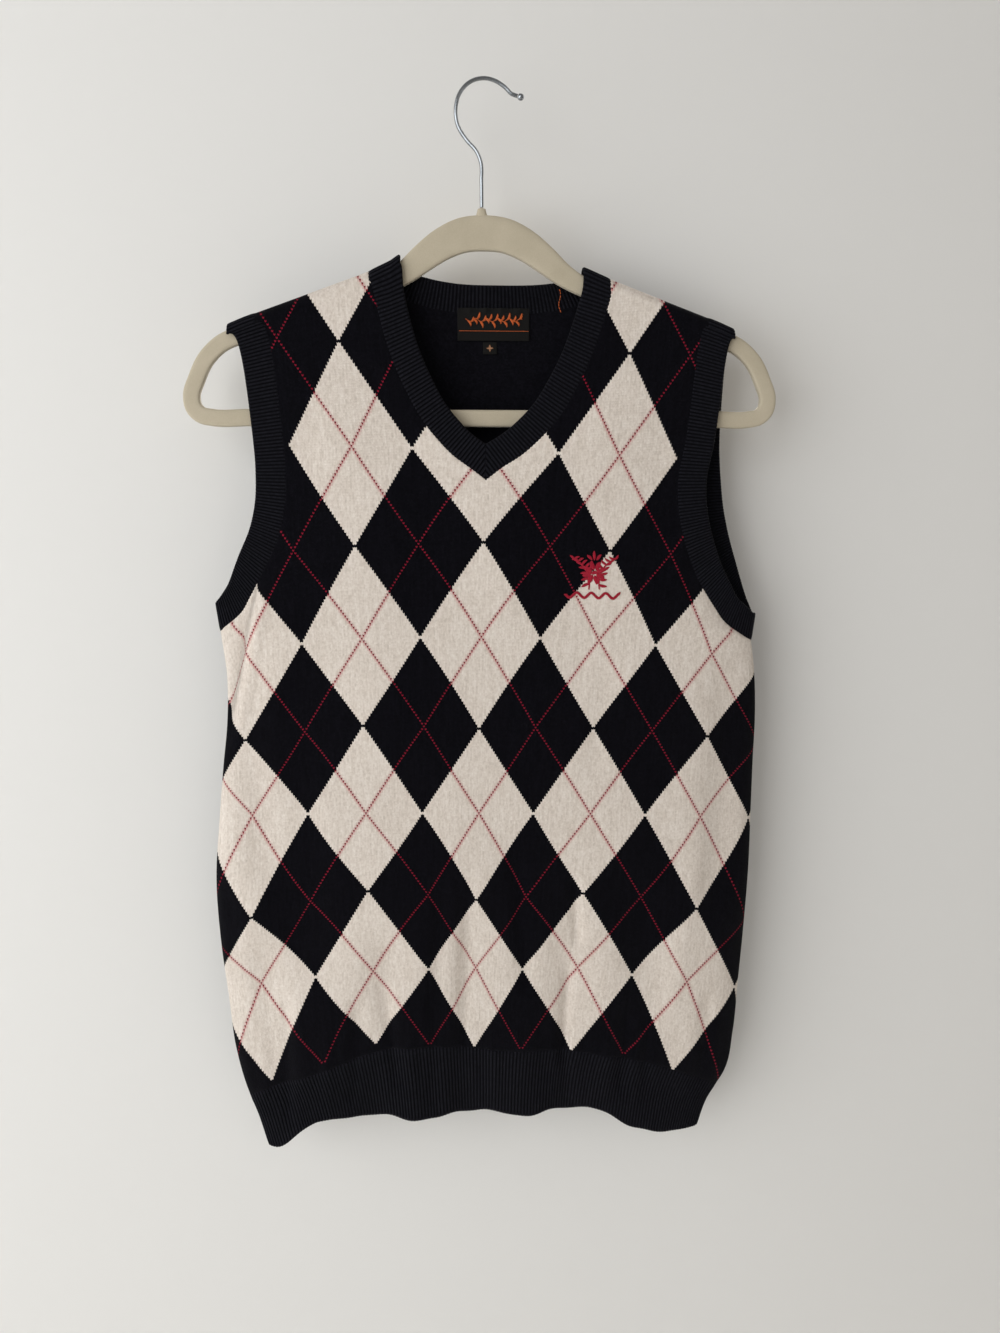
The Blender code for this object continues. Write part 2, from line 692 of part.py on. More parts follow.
def main():
    for obj in list(bpy.data.objects):
        bpy.data.objects.remove(obj)
    surface = garment_surface()
    for name in surface.names:
        wall_piece(surface, name, PANEL_WALL if name.endswith("panel") else RIB_WALL)
    clearance = PANEL_WALL / 2 + (RIB_WALL - PANEL_WALL) / 2 + LABEL_CLEARANCE
    patch_on_back(surface, "neck_label", LABEL, clearance)
    patch_on_back(surface, "size_tab", TAB, clearance)
    surface.mesh.free()
    hanger_body()
    hanger_hook()
    hook_ball()


main()
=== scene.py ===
import math

import bpy
import numpy as np
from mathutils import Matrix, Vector
from mathutils.bvhtree import BVHTree


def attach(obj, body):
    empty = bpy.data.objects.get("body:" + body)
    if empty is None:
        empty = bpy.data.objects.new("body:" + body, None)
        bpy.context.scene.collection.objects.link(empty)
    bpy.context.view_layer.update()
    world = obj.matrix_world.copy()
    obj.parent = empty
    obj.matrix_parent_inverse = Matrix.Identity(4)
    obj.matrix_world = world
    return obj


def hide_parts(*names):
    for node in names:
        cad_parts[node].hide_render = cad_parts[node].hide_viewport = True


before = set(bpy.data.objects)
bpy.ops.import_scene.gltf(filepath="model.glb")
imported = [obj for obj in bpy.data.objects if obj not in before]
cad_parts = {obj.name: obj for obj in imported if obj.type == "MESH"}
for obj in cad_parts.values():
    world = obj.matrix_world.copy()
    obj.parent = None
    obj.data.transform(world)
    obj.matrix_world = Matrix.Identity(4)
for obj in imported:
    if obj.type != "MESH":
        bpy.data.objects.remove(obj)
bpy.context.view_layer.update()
print("frame loaded:", len(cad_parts), "nodes")

mm = 0.001

# The vest's form, in millimetres below the hook's crown. Heights are on the front's centre line.
form = {
    "vPoint": -281.0, "chestLine": -385.0, "ribTop": -736.0, "hem": -793.0, "backNeck": -158.5,
    "neckBand": 20.5, "armBand": 21.5, "bandLean": 6.0,
    "rollRise": 7.0, "rollDepth": 7.0, "clearOfHanger": 3.4, "slackFrom": -150.0, "slackFade": 60.0,
    "armAtV": 0.46, "armAtBackNeck": 0.86, "neckShift": 3.3, "mitreShare": 0.07,
    "armDepth": 8.5, "armRounding": 0.3, "slopeFrom": 0.6, "topFrom": 0.75,
    "foldEnds": 0.5, "flatFrom": 1.9, "sectionPower": (5.0, 3.6), "sectionRoot": (0.5, 0.85),
    "rowLag": (2.5, 1.2), "backRibSlope": (90.0, 22.0), "backBandLoss": 0.07,
    "backNeckFlatness": 0.75, "cornerFrom": 0.8, "cornerRun": 0.2,
}
sideHeights = {
    "left": {"underarm": -393.5, "ribTop": -775.0, "hem": -822.0, "droop": (0.76, 0.97)},
    "right": {"underarm": -405.0, "ribTop": -781.0, "hem": -819.0, "droop": (0.45, 0.85)},
}
ribRide = {  # the rib's seam rides up left of the middle
    "height": 8.0, "middle": -72.0, "spread": 52.0, "reach": 0.25,
}
sideSeam = {  # how far out the side lies at each height
    "height": (-822, -795, -770, -735, -690, -640, -590, -540, -500, -465, -430, -393),
    "left": (181, 188, 196.5, 204, 208, 212.3, 213.4, 208.5, 204, 199.5, 198, 201.5),
    "right": (177, 185.5, 200, 205.8, 208.5, 211.5, 213.6, 213.8, 214, 214.5, 212.5, 207),
}
armhole = {  # share of its height, how far out, slope of the ribs in degrees
    "share": (0.0, 0.06, 0.115, 0.18, 0.30, 0.42, 0.52, 0.65, 0.88, 1.0),
    "front_left": (201.5, 185, 177.5, 169.5, 156, 149.2, 147.8, 149, 157.4, 166.3),
    "front_right": (207.5, 187, 177, 167, 154.5, 147.5, 146, 151, 160, 166.3),
    "back_left": (201.5, 188, 180, 171.5, 158, 151, 149.5, 151, 158, 166.3),
    "back_right": (207.5, 197, 190, 183, 172, 165, 162, 160, 163, 166.3),
    "slope": (83, 66, 55, 44, 24, 8, 0, -7, -13, -20),
}
neck = {  # share of the front neck's height, half width, slope of the ribs in degrees
    "share": (0.0, 0.064, 0.12, 0.206, 0.286, 0.418, 0.567, 0.723, 0.879, 1.0),
    "halfWidth": (0.0, 12, 23.3, 36, 46, 58.4, 70, 78.4, 84, 87.3),
    "rightBulge": (0.0, 1.4, 2.4, 3.4, 4.2, 4.6, 5.0, 5.6, 5.6, 2.0),
    "slope": (53, 52, 49, 43, 37, 31, 25, 17.6, 13, 22),
}
backNeckCurve = {"left": 2.0, "right": 3.5}
clothDepth = {  # how far the cloth stands out from the plane of the seams
    "height": (-822, -742, -620, -500, -385, -281, -200, -140),
    "front": (14, 20, 23, 21, 17, 13, 9.5, 7),
    "back": (10, 12, 13, 13, 12.5, 12, 12, 9),
}
armTop = {  # top edge of the hanger's arm
    "x": (0, 16, 31, 45, 58, 70, 92, 135, 175, 195),
    "z": (-91.4, -93.4, -101, -112, -122.6, -130.3, -138.4, -154, -168.4, -176.8),
}

# Folds: foot x z, head x z, half width, depth into the hollow; a ridge has a negative depth
folds = {
    "front": [
        (-176, -560, -188, -400, 16, 5.0),
        (-150, -640, -140, -430, 34, 6.0),
        (-172, -770, -178, -650, 15, 6.0),
        (186, -600, 192, -440, 17, 6.0),
        (140, -770, 120, -600, 22, 4.5),
        (-92, -790, -80, -640, 16, 4.0),
        (-16, -790, -10, -620, 18, 5.0),
        (62, -790, 66, -610, 18, 4.5),
        (-197, -468, -173, -356, 4.5, 4.5),
        (-187, -455, -166, -362, 5, -2.6),
        (-76, -752, -82, -682, 5.5, 2.8),
        (-46, -772, -38, -612, 7, 3.2),
        (-20, -716, -15, -588, 6, 2.6),
        (30, -668, 22, -574, 7, 3.0),
        (71, -640, 68, -592, 3.6, 3.2),
        (60, -736, 64, -668, 4.5, 3.0),
        (82, -500, 92, -424, 9, 1.2),
        (60, -470, 74, -410, 10, 1.0),
        (-112, -770, -104, -690, 7, 2.8),
        (-163, -786, -160, -690, 5.5, 3.2),
        (108, -772, 112, -706, 7, 2.6),
        (176, -768, 180, -700, 9, 3.2),
        (150, -700, 168, -560, 10, -1.6),
        (-60, -380, -36, -300, 14, 1.0),
        (70, -372, 40, -300, 14, 1.0),
        (-140, -330, -128, -232, 9, 1.1),
        (140, -330, 130, -236, 9, 1.1),
        (-120, -600, -128, -505, 12, -1.4),
        (-200, -700, -203, -600, 7, 2.4),
    ],
    "back": [
        (-120, -790, -96, -520, 26, 5.0),
        (-10, -790, 6, -560, 22, 4.0),
        (104, -790, 88, -480, 26, 5.0),
        (-60, -786, -50, -640, 8, 2.2),
        (44, -784, 50, -660, 7, 2.0),
        (150, -780, 158, -640, 9, 2.4),
        (-164, -778, -170, -620, 9, 2.4),
        (-150, -470, -168, -370, 9, 2.0),
        (160, -480, 178, -380, 9, 2.0),
        (-90, -520, -110, -420, 16, 1.4),
        (70, -560, 96, -430, 16, 1.4),
        (-20, -320, -70, -240, 14, 1.2),
        (28, -330, 80, -240, 14, 1.2),
    ],
}
foldRun = {"over": 0.2, "foot": 4.0, "head": 3.0}

# Small unevenness of hanging knit: radians per metre across and up, phase, height
slackWaves = [(62, 18, 0.4, 0.34), (38, -34, 2.1, 0.30), (94, 46, 4.0, 0.14), (22, 58, 5.3, 0.22)]

# Puckers where the hem's ribs draw the body in; their spacing drifts in a slower wave
pucker = {"spacing": 23.0, "height": 0.75, "reach": 34.0, "below": 8.0, "drift": 1.3, "driftRate": 0.37}

# How far the neckband's free edge leans in towards the neck at the shoulder, and stands up
neckCorner = {"left": (3.2, 3.6), "right": (0.5, 1.0)}


def smooth(knots, values, at):
    # cubic between knots, the slope at each taken from its neighbours
    knots = np.asarray(knots, float)
    values = np.asarray(values, float)
    slopes = np.gradient(values, knots)
    at = np.clip(at, knots[0], knots[-1])
    left = np.clip(np.searchsorted(knots, at, side="right") - 1, 0, len(knots) - 2)
    width = knots[left + 1] - knots[left]
    u = (at - knots[left]) / width
    rise = values[left + 1] - values[left]
    bendIn = slopes[left] * width - rise
    bendOut = rise - slopes[left + 1] * width
    return values[left] + u * rise + u * (1 - u) * ((1 - u) * bendIn + u * bendOut)


def mix(start, end, share):
    # start + (end - start) * share
    return start + (end - start) * share


def ease(share):
    # 3 s^2 - 2 s^3, held at 0 and 1
    share = np.clip(share, 0, 1)
    return share * share * (3 - 2 * share)


def stacked(*values):
    # coordinates side by side along a new last axis
    return np.stack(np.broadcast_arrays(*values), axis=-1)


def unit(vectors):
    # each row made one long
    return vectors / np.maximum(np.linalg.norm(vectors, axis=1, keepdims=True), 1e-12)


def shoulderLine(x):
    # the cloth's middle, a little above the hanger's arm
    return np.interp(abs(x), armTop["x"], armTop["z"]) + form["clearOfHanger"]


def foldDepth(face, x, z):
    # sum of bells: depth * fade * exp(-((x - line) / half width)^2)
    total = np.zeros(np.broadcast(x, z).shape)
    for footX, footZ, headX, headZ, halfWidth, depth in folds[face]:
        along = (z - footZ) / (headZ - footZ)
        line = mix(footX, headX, np.clip(along, -foldRun["over"], 1 + foldRun["over"]))
        fade = ease(along * foldRun["foot"] + 1)
        fade = fade * ease((1 - along + foldRun["over"]) * foldRun["head"])
        total = total + depth * fade * np.exp(-(((x - line) / halfWidth) ** 2))
    return total


def slack(x, z):
    # a few crossing sine waves, and puckers that fade away from the hem's ribs
    total = np.zeros(np.broadcast(x, z).shape)
    for across, up, phase, height in slackWaves:
        total = total + height * np.sin(across * x * mm + up * z * mm + phase)
    near = np.exp(-(((z - form["ribTop"] + pucker["below"]) / pucker["reach"]) ** 2))
    turn = x / pucker["spacing"] * 2 * math.pi
    turn = turn + pucker["drift"] * np.sin(turn * pucker["driftRate"])
    return total + near * pucker["height"] * np.sin(turn)


def newHalf(face, side):
    # a half of the front or back, with its signs and how many stretches it has
    return {
        "face": face, "side": side, "steps": 4 if face == "front" else 5,
        "sign": -1.0 if side == "left" else 1.0, "out": -1.0 if face == "front" else 1.0,
    }


def parts(half, t):
    # t counts stretches up the panel: body, chest, yoke, (back neck,) roll; also the armhole's share
    shares = [np.clip(t - k, 0, 1) for k in range(half["steps"])]
    low, high = form["armAtV"], form["armAtBackNeck"]
    if half["face"] == "front":
        body, chest, yoke, roll = shares
        return body, chest, yoke, yoke, roll, chest * low + yoke * (1 - low)
    body, chest, yoke, scoop, roll = shares
    return body, chest, yoke, scoop, roll, chest * low + yoke * (high - low) + scoop * (1 - high)


def pastMitre(share):
    # share of the neck's height that is above the mitre
    return np.clip((share - form["mitreShare"]) / (1 - form["mitreShare"]), 0, 1)


def neckHalfWidth(half, share):
    # the table's half width, moved over by the shift, and the right side's bulge
    width = smooth(neck["share"], neck["halfWidth"], share)
    width = width + form["neckShift"] * half["sign"] * pastMitre(share)
    if half["side"] == "right":
        width = width + smooth(neck["share"], neck["rightBulge"], pastMitre(share))
    return width


def armDepth(share):
    # full depth * sqrt(1 - (1 - share / rounding)^3), so the underarm closes round
    rounding = np.clip(1 - share / form["armRounding"], 0, 1)
    slope = ease((share - form["slopeFrom"]) / (1 - form["slopeFrom"]))
    return mix(form["armDepth"], form["rollDepth"], slope) * np.sqrt(1 - rounding**3)


def sideWidth(half, z):
    # how far out the side seam lies at a height
    return smooth(sideSeam["height"], sideSeam[half["side"]], z)


def innerEdge(half, t):
    # distance out and height of a row's inner end: the centre line, then the neck's edge
    body, chest, yoke, scoop, _, _ = parts(half, t)
    topWidth = neckHalfWidth(half, 1.0)
    top = shoulderLine(topWidth) - form["rollRise"]
    z = mix(form["ribTop"], form["chestLine"], body) + chest * (form["vPoint"] - form["chestLine"])
    if half["face"] == "front":
        meanTop = shoulderLine(neck["halfWidth"][-1]) - form["rollRise"]
        z = z + yoke * (meanTop - form["vPoint"]) + pastMitre(yoke) * (top - meanTop)
        return neckHalfWidth(half, yoke), z
    reach = np.sin(scoop * math.pi / 2)
    rise = 1 - (1 - reach ** backNeckCurve[half["side"]]) ** form["backNeckFlatness"]
    z = z + yoke * (form["backNeck"] - form["vPoint"]) + rise * (top - form["backNeck"])
    return reach * topWidth, z


def outerEdge(half, t):
    # distance out and height of a row's outer end: the side seam, then the armhole seam
    body, arm = parts(half, t)[0], parts(half, t)[5]
    heights = sideHeights[half["side"]]
    sideZ = mix(heights["ribTop"], heights["underarm"], body)
    sideX = sideWidth(half, sideZ)
    armX = smooth(armhole["share"], armhole[half["face"] + "_" + half["side"]], arm)
    foot = shoulderLine(armhole["front_left"][-1]) - form["rollRise"]
    armZ = mix(heights["underarm"], foot, arm)
    return np.where(arm > 0, armX, sideX), np.where(arm > 0, armZ, sideZ)


def depthAt(half, t, s, x, z):
    # edge + (middle - edge) * (1 - s^power)^root: a round fold at the sides, flat higher up
    arm = parts(half, t)[5]
    middle = smooth(clothDepth["height"], clothDepth[half["face"]], z)
    middle = middle - foldDepth(half["face"], half["sign"] * x, z)
    middle = middle + slack(half["sign"] * x, z) * ease((form["slackFrom"] - z) / form["slackFade"])
    nearTop = ease((arm - form["topFrom"]) / (1 - form["topFrom"]))
    middle = mix(middle, form["rollDepth"], nearTop if half["face"] == "front" else nearTop**3)
    edge = np.where(arm > 0, armDepth(arm), 0.0)
    flat = ease((t - form["foldEnds"]) / (form["flatFrom"] - form["foldEnds"]))
    shape = (1 - s ** mix(*form["sectionPower"], flat)) ** mix(*form["sectionRoot"], flat)
    return edge + (middle - edge) * shape


def placed(half, x, y, z, t):
    # the top stretch is a quarter turn over the hanger's arm
    roll = parts(half, t)[4] * math.pi / 2
    rolled = shoulderLine(x) - form["rollRise"] * (1 - np.sin(roll))
    z = np.where(roll > 0, rolled, z)
    y = np.where(roll > 0, y * np.cos(roll), y)
    return stacked(half["sign"] * x, half["out"] * y, z)


def settled(half, z, x, t, s):
    # rows near the shoulder come onto the slope of the hanger's arm
    _, _, _, scoop, _, arm = parts(half, t)
    sloping = ease((arm - form["slopeFrom"]) / (1 - form["slopeFrom"])) ** 2
    return mix(z, shoulderLine(x) - form["rollRise"], mix(scoop**4, sloping, s**3))


def ribLift(x, t):
    # height * exp(-((x - middle) / spread)^2), fading out up the body
    bell = np.exp(-(((x - ribRide["middle"]) / ribRide["spread"]) ** 2))
    return ribRide["height"] * bell * ease(1 - t / ribRide["reach"])


def panelPoints(half, t, s):
    # rows run from the inner edge to the outer edge, and lag behind the side by s^bend
    inX, inZ = innerEdge(half, t)
    outX, outZ = outerEdge(half, t)
    x = mix(inX, outX, s)
    z = settled(half, mix(inZ, outZ, s ** mix(*form["rowLag"], ease(t - 1))), x, t, s)
    z = z + ribLift(half["sign"] * x, t)
    return placed(half, x, depthAt(half, t, s, x, z), z, t)


def neckBandPoints(half, t, w):
    # seam point + w * width along the ribs' slope; at the V the width ends on the centre line
    scoop = parts(half, t)[3]
    seamX, seamZ = innerEdge(half, t)
    if half["face"] == "front":
        slope = np.radians(smooth(neck["share"], neck["slope"], scoop))
        mitred = seamX / np.cos(slope)
        full = np.minimum(form["neckBand"], mitred)
        width = np.where(scoop > form["mitreShare"], full, mitred)
        lean = 0.0
    else:
        slope = np.radians(mix(*form["backRibSlope"], scoop**1.5))
        width = form["neckBand"] * (1 - form["backBandLoss"] * (1 - scoop))
        lean = form["bandLean"] * (1 - scoop) ** 2
    x = seamX - w * width * np.cos(slope)
    z = settled(half, seamZ + w * width * np.sin(slope), x, t, 0)
    y = depthAt(half, t, 0.0, seamX, settled(half, seamZ, seamX, t, 0))
    points = placed(half, x, y - w * lean, z, t)
    corner = ease((scoop - form["cornerFrom"]) / form["cornerRun"]) * w
    inward, up = neckCorner[half["side"]]
    points[..., 0] -= half["sign"] * inward * corner
    points[..., 2] += up * corner
    return points


def armBandPoints(half, t, w):
    # seam point + w * width along the ribs' slope
    arm = parts(half, t)[5]
    outX, outZ = outerEdge(half, t)
    slope = np.radians(smooth(armhole["share"], armhole["slope"], arm))
    x = outX + w * form["armBand"] * np.cos(slope)
    z = settled(half, outZ + w * form["armBand"] * np.sin(slope), x, t, 1)
    return placed(half, x, armDepth(arm) + 0 * w, z, t)


# The hem's edge rises and falls in three waves, and sways in and out in one
hemWave = {"spacing": (88.0, 43.0, 26.0), "lift": (0.8, 1.0, 0.5), "phase": (2.2, 0.6, 1.9)}
hemSway = {"spacing": 88.0, "height": 2.2, "phase": 0.8}


def hemBandPoints(half, s, w):
    # from the body's lowest row down to the hem's edge; the waves fade towards the sides by 1 - s^6
    heights = sideHeights[half["side"]]
    top = panelPoints(half, np.zeros_like(s), s)
    sideX = sideWidth(half, mix(heights["ribTop"], heights["hem"], w))
    dropFrom, dropTo = heights["droop"]
    footZ = mix(form["hem"], heights["hem"], ease((s - dropFrom) / (dropTo - dropFrom)))
    x = abs(top[..., 0]) * sideX / sideWidth(half, heights["ribTop"])
    fade = 1 - s**6
    lift = sum(
        high * np.sin(half["sign"] * x / spacing * 2 * math.pi + phase)
        for high, spacing, phase in zip(hemWave["lift"], hemWave["spacing"], hemWave["phase"]))
    z = mix(top[..., 2], footZ + lift * fade, w)
    y = depthAt(half, np.zeros_like(s), s, x, z)
    turn = half["sign"] * x / hemSway["spacing"] * 2 * math.pi
    y = y + w**2 * fade * hemSway["height"] * np.sin(turn + hemSway["phase"] * half["out"])
    return placed(half, x, y, z, 0 * w)


print("form ready")


# Meshes: grids of points joined into one surface, given a wall, and written in metres

def trianglesOf(shape, first, turned):
    # two triangles for each cell of a grid whose points are numbered row by row
    index = np.arange(shape[0] * shape[1]).reshape(shape) + first
    a, b, c, d = index[:-1, :-1], index[:-1, 1:], index[1:, 1:], index[1:, :-1]
    pairs = np.concatenate([np.stack([a, b, c], -1).reshape(-1, 3), np.stack([a, c, d], -1).reshape(-1, 3)])
    return pairs[:, ::-1] if turned else pairs


def joined(patches):
    # points closer than a hundredth of a millimetre are one; triangles that collapse go
    flat = {key: [] for key in ("points", "knit", "lift")}
    triangles, first = [], 0
    for patch in patches:
        shape = patch["points"].shape[:2]
        triangles.append(trianglesOf(shape, first, patch["turned"]))
        first += shape[0] * shape[1]
        for key, size in (("points", 3), ("knit", 2), ("lift", 1)):
            flat[key].append(patch[key].reshape(-1, size))
    flat = {key: np.concatenate(value) for key, value in flat.items()}
    cells = np.round(flat["points"] * 100 + 0.137).astype(np.int64)
    _, kept, number = np.unique(cells, axis=0, return_index=True, return_inverse=True)
    triangles = number.reshape(-1)[np.concatenate(triangles)]
    a, b, c = triangles.T
    triangles = triangles[(a != b) & (b != c) & (a != c)]
    return flat["points"][kept], flat["knit"][kept], flat["lift"][kept], triangles


def vertexNormals(points, triangles):
    # the sum of the triangles' area vectors at each point, one long
    corner = points[triangles]
    area = np.cross(corner[:, 1] - corner[:, 0], corner[:, 2] - corner[:, 0])
    total = np.zeros_like(points)
    for k in range(3):
        np.add.at(total, triangles[:, k], area)
    return unit(total)


def openEdges(triangles):
    # directed edges with no partner running the other way
    edges = np.concatenate([triangles[:, [0, 1]], triangles[:, [1, 2]], triangles[:, [2, 0]]])
    count = int(triangles.max()) + 1
    forward = edges[:, 0] * count + edges[:, 1]
    return edges[~np.isin(forward, edges[:, 1] * count + edges[:, 0])]


def shellOf(patches, wall):
    # outer skin = middle + normal * (lift + wall/2), inner = middle + normal * (lift - wall/2);
    # a round rim joins them: a third ring, pushed out of the open edge by 0.42 of the wall
    points, knit, lift, triangles = joined(patches)
    normal = vertexNormals(points, triangles)
    count = len(points)
    outer = points + normal * (lift + wall / 2)
    inner = points + normal * (lift - wall / 2)
    edges = openEdges(triangles)
    away = np.zeros_like(points)
    side = np.cross(points[edges[:, 1]] - points[edges[:, 0]], normal[edges[:, 0]])
    for end in range(2):
        np.add.at(away, edges[:, end], side)
    rimPoints = np.unique(edges)
    place = np.full(count, -1)
    place[rimPoints] = np.arange(len(rimPoints)) + 2 * count
    rim = (points + normal * lift + unit(away) * wall * 0.42)[rimPoints]
    a, b = edges.T
    strips = []
    for near, far in ((lambda k: k, lambda k: place[k]), (lambda k: place[k], lambda k: k + count)):
        strips.append(np.stack([near(b), near(a), far(a)], -1))
        strips.append(np.stack([near(b), far(a), far(b)], -1))
    allPoints = np.concatenate([outer, inner, rim])
    allKnit = np.concatenate([knit, knit, knit[rimPoints]])
    faces = np.concatenate([triangles, triangles[:, ::-1] + count] + strips)
    return allPoints, allKnit, faces


def writeMesh(name, points, faces, knit=None, smoothShading=True):
    # one object at the origin, its points in metres
    mesh = bpy.data.meshes.new(name)
    mesh.vertices.add(len(points))
    mesh.vertices.foreach_set("co", (points * mm).astype(np.float32).ravel())
    sides = faces.shape[1]
    mesh.loops.add(faces.size)
    mesh.loops.foreach_set("vertex_index", faces.astype(np.int32).ravel())
    mesh.polygons.add(len(faces))
    mesh.polygons.foreach_set("loop_start", np.arange(0, faces.size, sides, dtype=np.int32))
    mesh.update(calc_edges=True)
    mesh.validate()
    if knit is not None:
        layer = mesh.uv_layers.new(name="knit")
        layer.data.foreach_set("uv", knit[faces.ravel()].astype(np.float32).ravel())
    mesh.polygons.foreach_set("use_smooth", np.full(len(mesh.polygons), smoothShading))
    piece = bpy.data.objects.new(name, mesh)
    bpy.context.scene.collection.objects.link(piece)
    return piece


def fitted(piece, material, slot, *nodes):
    # finish, body, and the solids that the piece stands for
    piece.data.materials.append(material)
    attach(piece, "root")
    if nodes:
        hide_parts(*nodes)
    print(piece.name, len(piece.data.polygons), "faces")
    return piece


# Node helpers: a value is a number, or a socket to link from

def node(tree, kind, values=(), **settings):
    made = tree.nodes.new("ShaderNode" + kind)
    for key, value in settings.items():
        setattr(made, key, value)
    for key, value in dict(values).items():
        if isinstance(value, bpy.types.NodeSocket):
            tree.links.new(value, made.inputs[key])
        else:
            made.inputs[key].default_value = value
    return made


def calc(tree, operation, *values):
    # one step of arithmetic
    return node(tree, "Math", dict(enumerate(values)), operation=operation).outputs[0]


def blendColours(tree, share, first, second):
    # first + (second - first) * share
    made = node(tree, "Mix", {"Factor": share}, data_type="RGBA")
    for key, value in ((6, first), (7, second)):
        if isinstance(value, bpy.types.NodeSocket):
            tree.links.new(value, made.inputs[key])
        else:
            made.inputs[key].default_value = (*value, 1.0)
    return made.outputs[2]


def newFinish(name, **fixed):
    # a material and its shader's fixed values, named with _ for a space
    made = bpy.data.materials.new(name)
    made.use_nodes = True
    shader = made.node_tree.nodes["Principled BSDF"]
    for key, value in fixed.items():
        shader.inputs[key.replace("_", " ")].default_value = value
    return made, made.node_tree, shader


def objectNoise(tree, scale, stretch=(1, 1, 1), detail=2.0):
    # noise on the object's own coordinates, longer along a direction where its stretch is small
    where = node(tree, "TexCoord").outputs["Object"]
    where = node(tree, "Mapping", {"Vector": where, "Scale": stretch}).outputs[0]
    return node(tree, "TexNoise", {"Vector": where, "Scale": scale, "Detail": detail}).outputs[0]


def cellShade(tree, x, y):
    # one random shade for each pair of whole numbers
    place = node(tree, "CombineXYZ", {"X": x, "Y": y}).outputs[0]
    return node(tree, "TexWhiteNoise", {"Vector": place}, noise_dimensions="2D").outputs[0]


def dressed(made, shader, colour, height, distance, strength):
    # the colour, and a slight relief whose distance is in metres
    tree = made.node_tree
    bump = node(tree, "Bump", {"Height": height, "Distance": distance, "Strength": strength})
    tree.links.new(colour, shader.inputs["Base Color"])
    tree.links.new(bump.outputs[0], shader.inputs["Normal"])
    return made


def stitchCells(tree, lean):
    # column = floor(u); row = floor(v + lean * |2 across - 1|), so that rows meet in a V
    split = node(tree, "SeparateXYZ", {0: node(tree, "UVMap", uv_map="knit").outputs[0]})
    column = calc(tree, "FLOOR", split.outputs[0])
    across = calc(tree, "SUBTRACT", split.outputs[0], column)
    slant = calc(tree, "ABSOLUTE", calc(tree, "MULTIPLY_ADD", across, 2.0, -1.0))
    raised = calc(tree, "MULTIPLY_ADD", slant, lean, split.outputs[1])
    row = calc(tree, "FLOOR", raised)
    return column, row, across, calc(tree, "SUBTRACT", raised, row)


def strandHeight(tree, across, along):
    # two strands to a stitch, each (1 - (2 leg - 1)^2), pinched where the rows meet
    leg = calc(tree, "FRACT", calc(tree, "MULTIPLY", across, 2.0))
    legRound = calc(tree, "POWER", calc(tree, "MULTIPLY_ADD", leg, 2.0, -1.0), 2.0)
    rowRound = calc(tree, "POWER", calc(tree, "MULTIPLY_ADD", along, 2.0, -1.0), 2.0)
    high = calc(tree, "SUBTRACT", 1.0, legRound)
    return calc(tree, "MULTIPLY", high, calc(tree, "MULTIPLY_ADD", rowRound, -0.55, 1.0))


# Front: diamonds of two yarns with dotted lines over them

argyle = {
    "stitches": 32, "rows": 64, "lean": 0.55, "lastRow": 512, "firstStitch": 6400, "firstRow": 1280,
    "plainRows": 26.0, "lineReach": (0.25, 1.25), "haloShare": (0.6, 0.3), "waleRows": 11.0,
    "cream": (0.705, 0.625, 0.550), "pale": (0.83, 0.760, 0.690), "fleck": (0.50, 0.430, 0.365),
    "navy": (0.0016, 0.0015, 0.0027), "navyFleck": (0.0062, 0.0058, 0.0092),
    # paintedRidgeHighlight: a paler navy painted along the ribs' ridges as a highlight
    "paintedRidgeHighlight": (0.0105, 0.0105, 0.0145), "redOnNavy": (0.23, 0.010, 0.026),
    "redOnCream": (0.15, 0.004, 0.015), "redHalo": (0.52, 0.190, 0.185),
}
marl = {  # shares of each cause of shade, and the shades where the yarn turns pale or dark
    "wale": 0.45, "stitch": 0.55, "shade": 0.42, "streak": 0.90, "cloud": 0.16, "base": 0.07,
    "plainAt": 0.74, "paleAt": 1.12, "darkAt": 0.44, "darkMost": 0.55,
}
lattice = {  # rows of the diamonds' corners, from the shoulder to the hem
    "height": (-112, -184.2, -258.7, -330.5, -397.8, -466.9, -534.4, -598.4, -663.5, -731.4, -797),
    "tilt": (-3.3, -3.3, -3.2, -1.3, -1.8, -1.2, -2.2, -1, -1.6, -1, -1),
    "droop": (0, 0, 1, 8, 13, 10, 5, 18, 14, 25, 20),
    "dip": (0, 0, 0, -4.5, -0.5, 1, 0, 7, 1, 11, 4),
    "centre": (0.3, 0.3, 0, -2, -4.8, -6.3, -7.5, -9, -10.2, -11.2, -12),
    "inner": (132, 124, 109, 99, 91, 85.5, 86, 77, 74.5, 73.5, 74),
    "outer": (90, 90, 90, 93, 89, 91, 88, 92, 89, 85, 84),
    "dipWidth": 45.0, "reach": 180.0, "rowAbove": 72.0,
    "liftAt": (-152, -90, -45, -5, 35, 80, 115, 148),
    "lift": {
        3: (0, 2, 1, 0, 0, 0, 0, 0), 5: (-1.2, 3, 1, 0, 0, 0, 0, 0),
        7: (-1.5, 5, 1, 0, -1, -1, -2, -4), 8: (1, 1.3, 1.3, 0.6, 0, 0, -3.5, -4),
        9: (-7, 7, 6, 9, 4, -6.5, -7, -13),
    },
}
underarmPleat = {
    "foot": (-198.5, -470), "head": (-170, -350), "hidden": 9.0, "width": 4.0, "past": (0.25, 0.35),
    "fade": 2.5,
}
sideTurn = {"from": 0.8, "run": 0.15}
plainStitch = {"wide": 1.41, "high": 1.09, "first": 500, "firstRow": 1000}


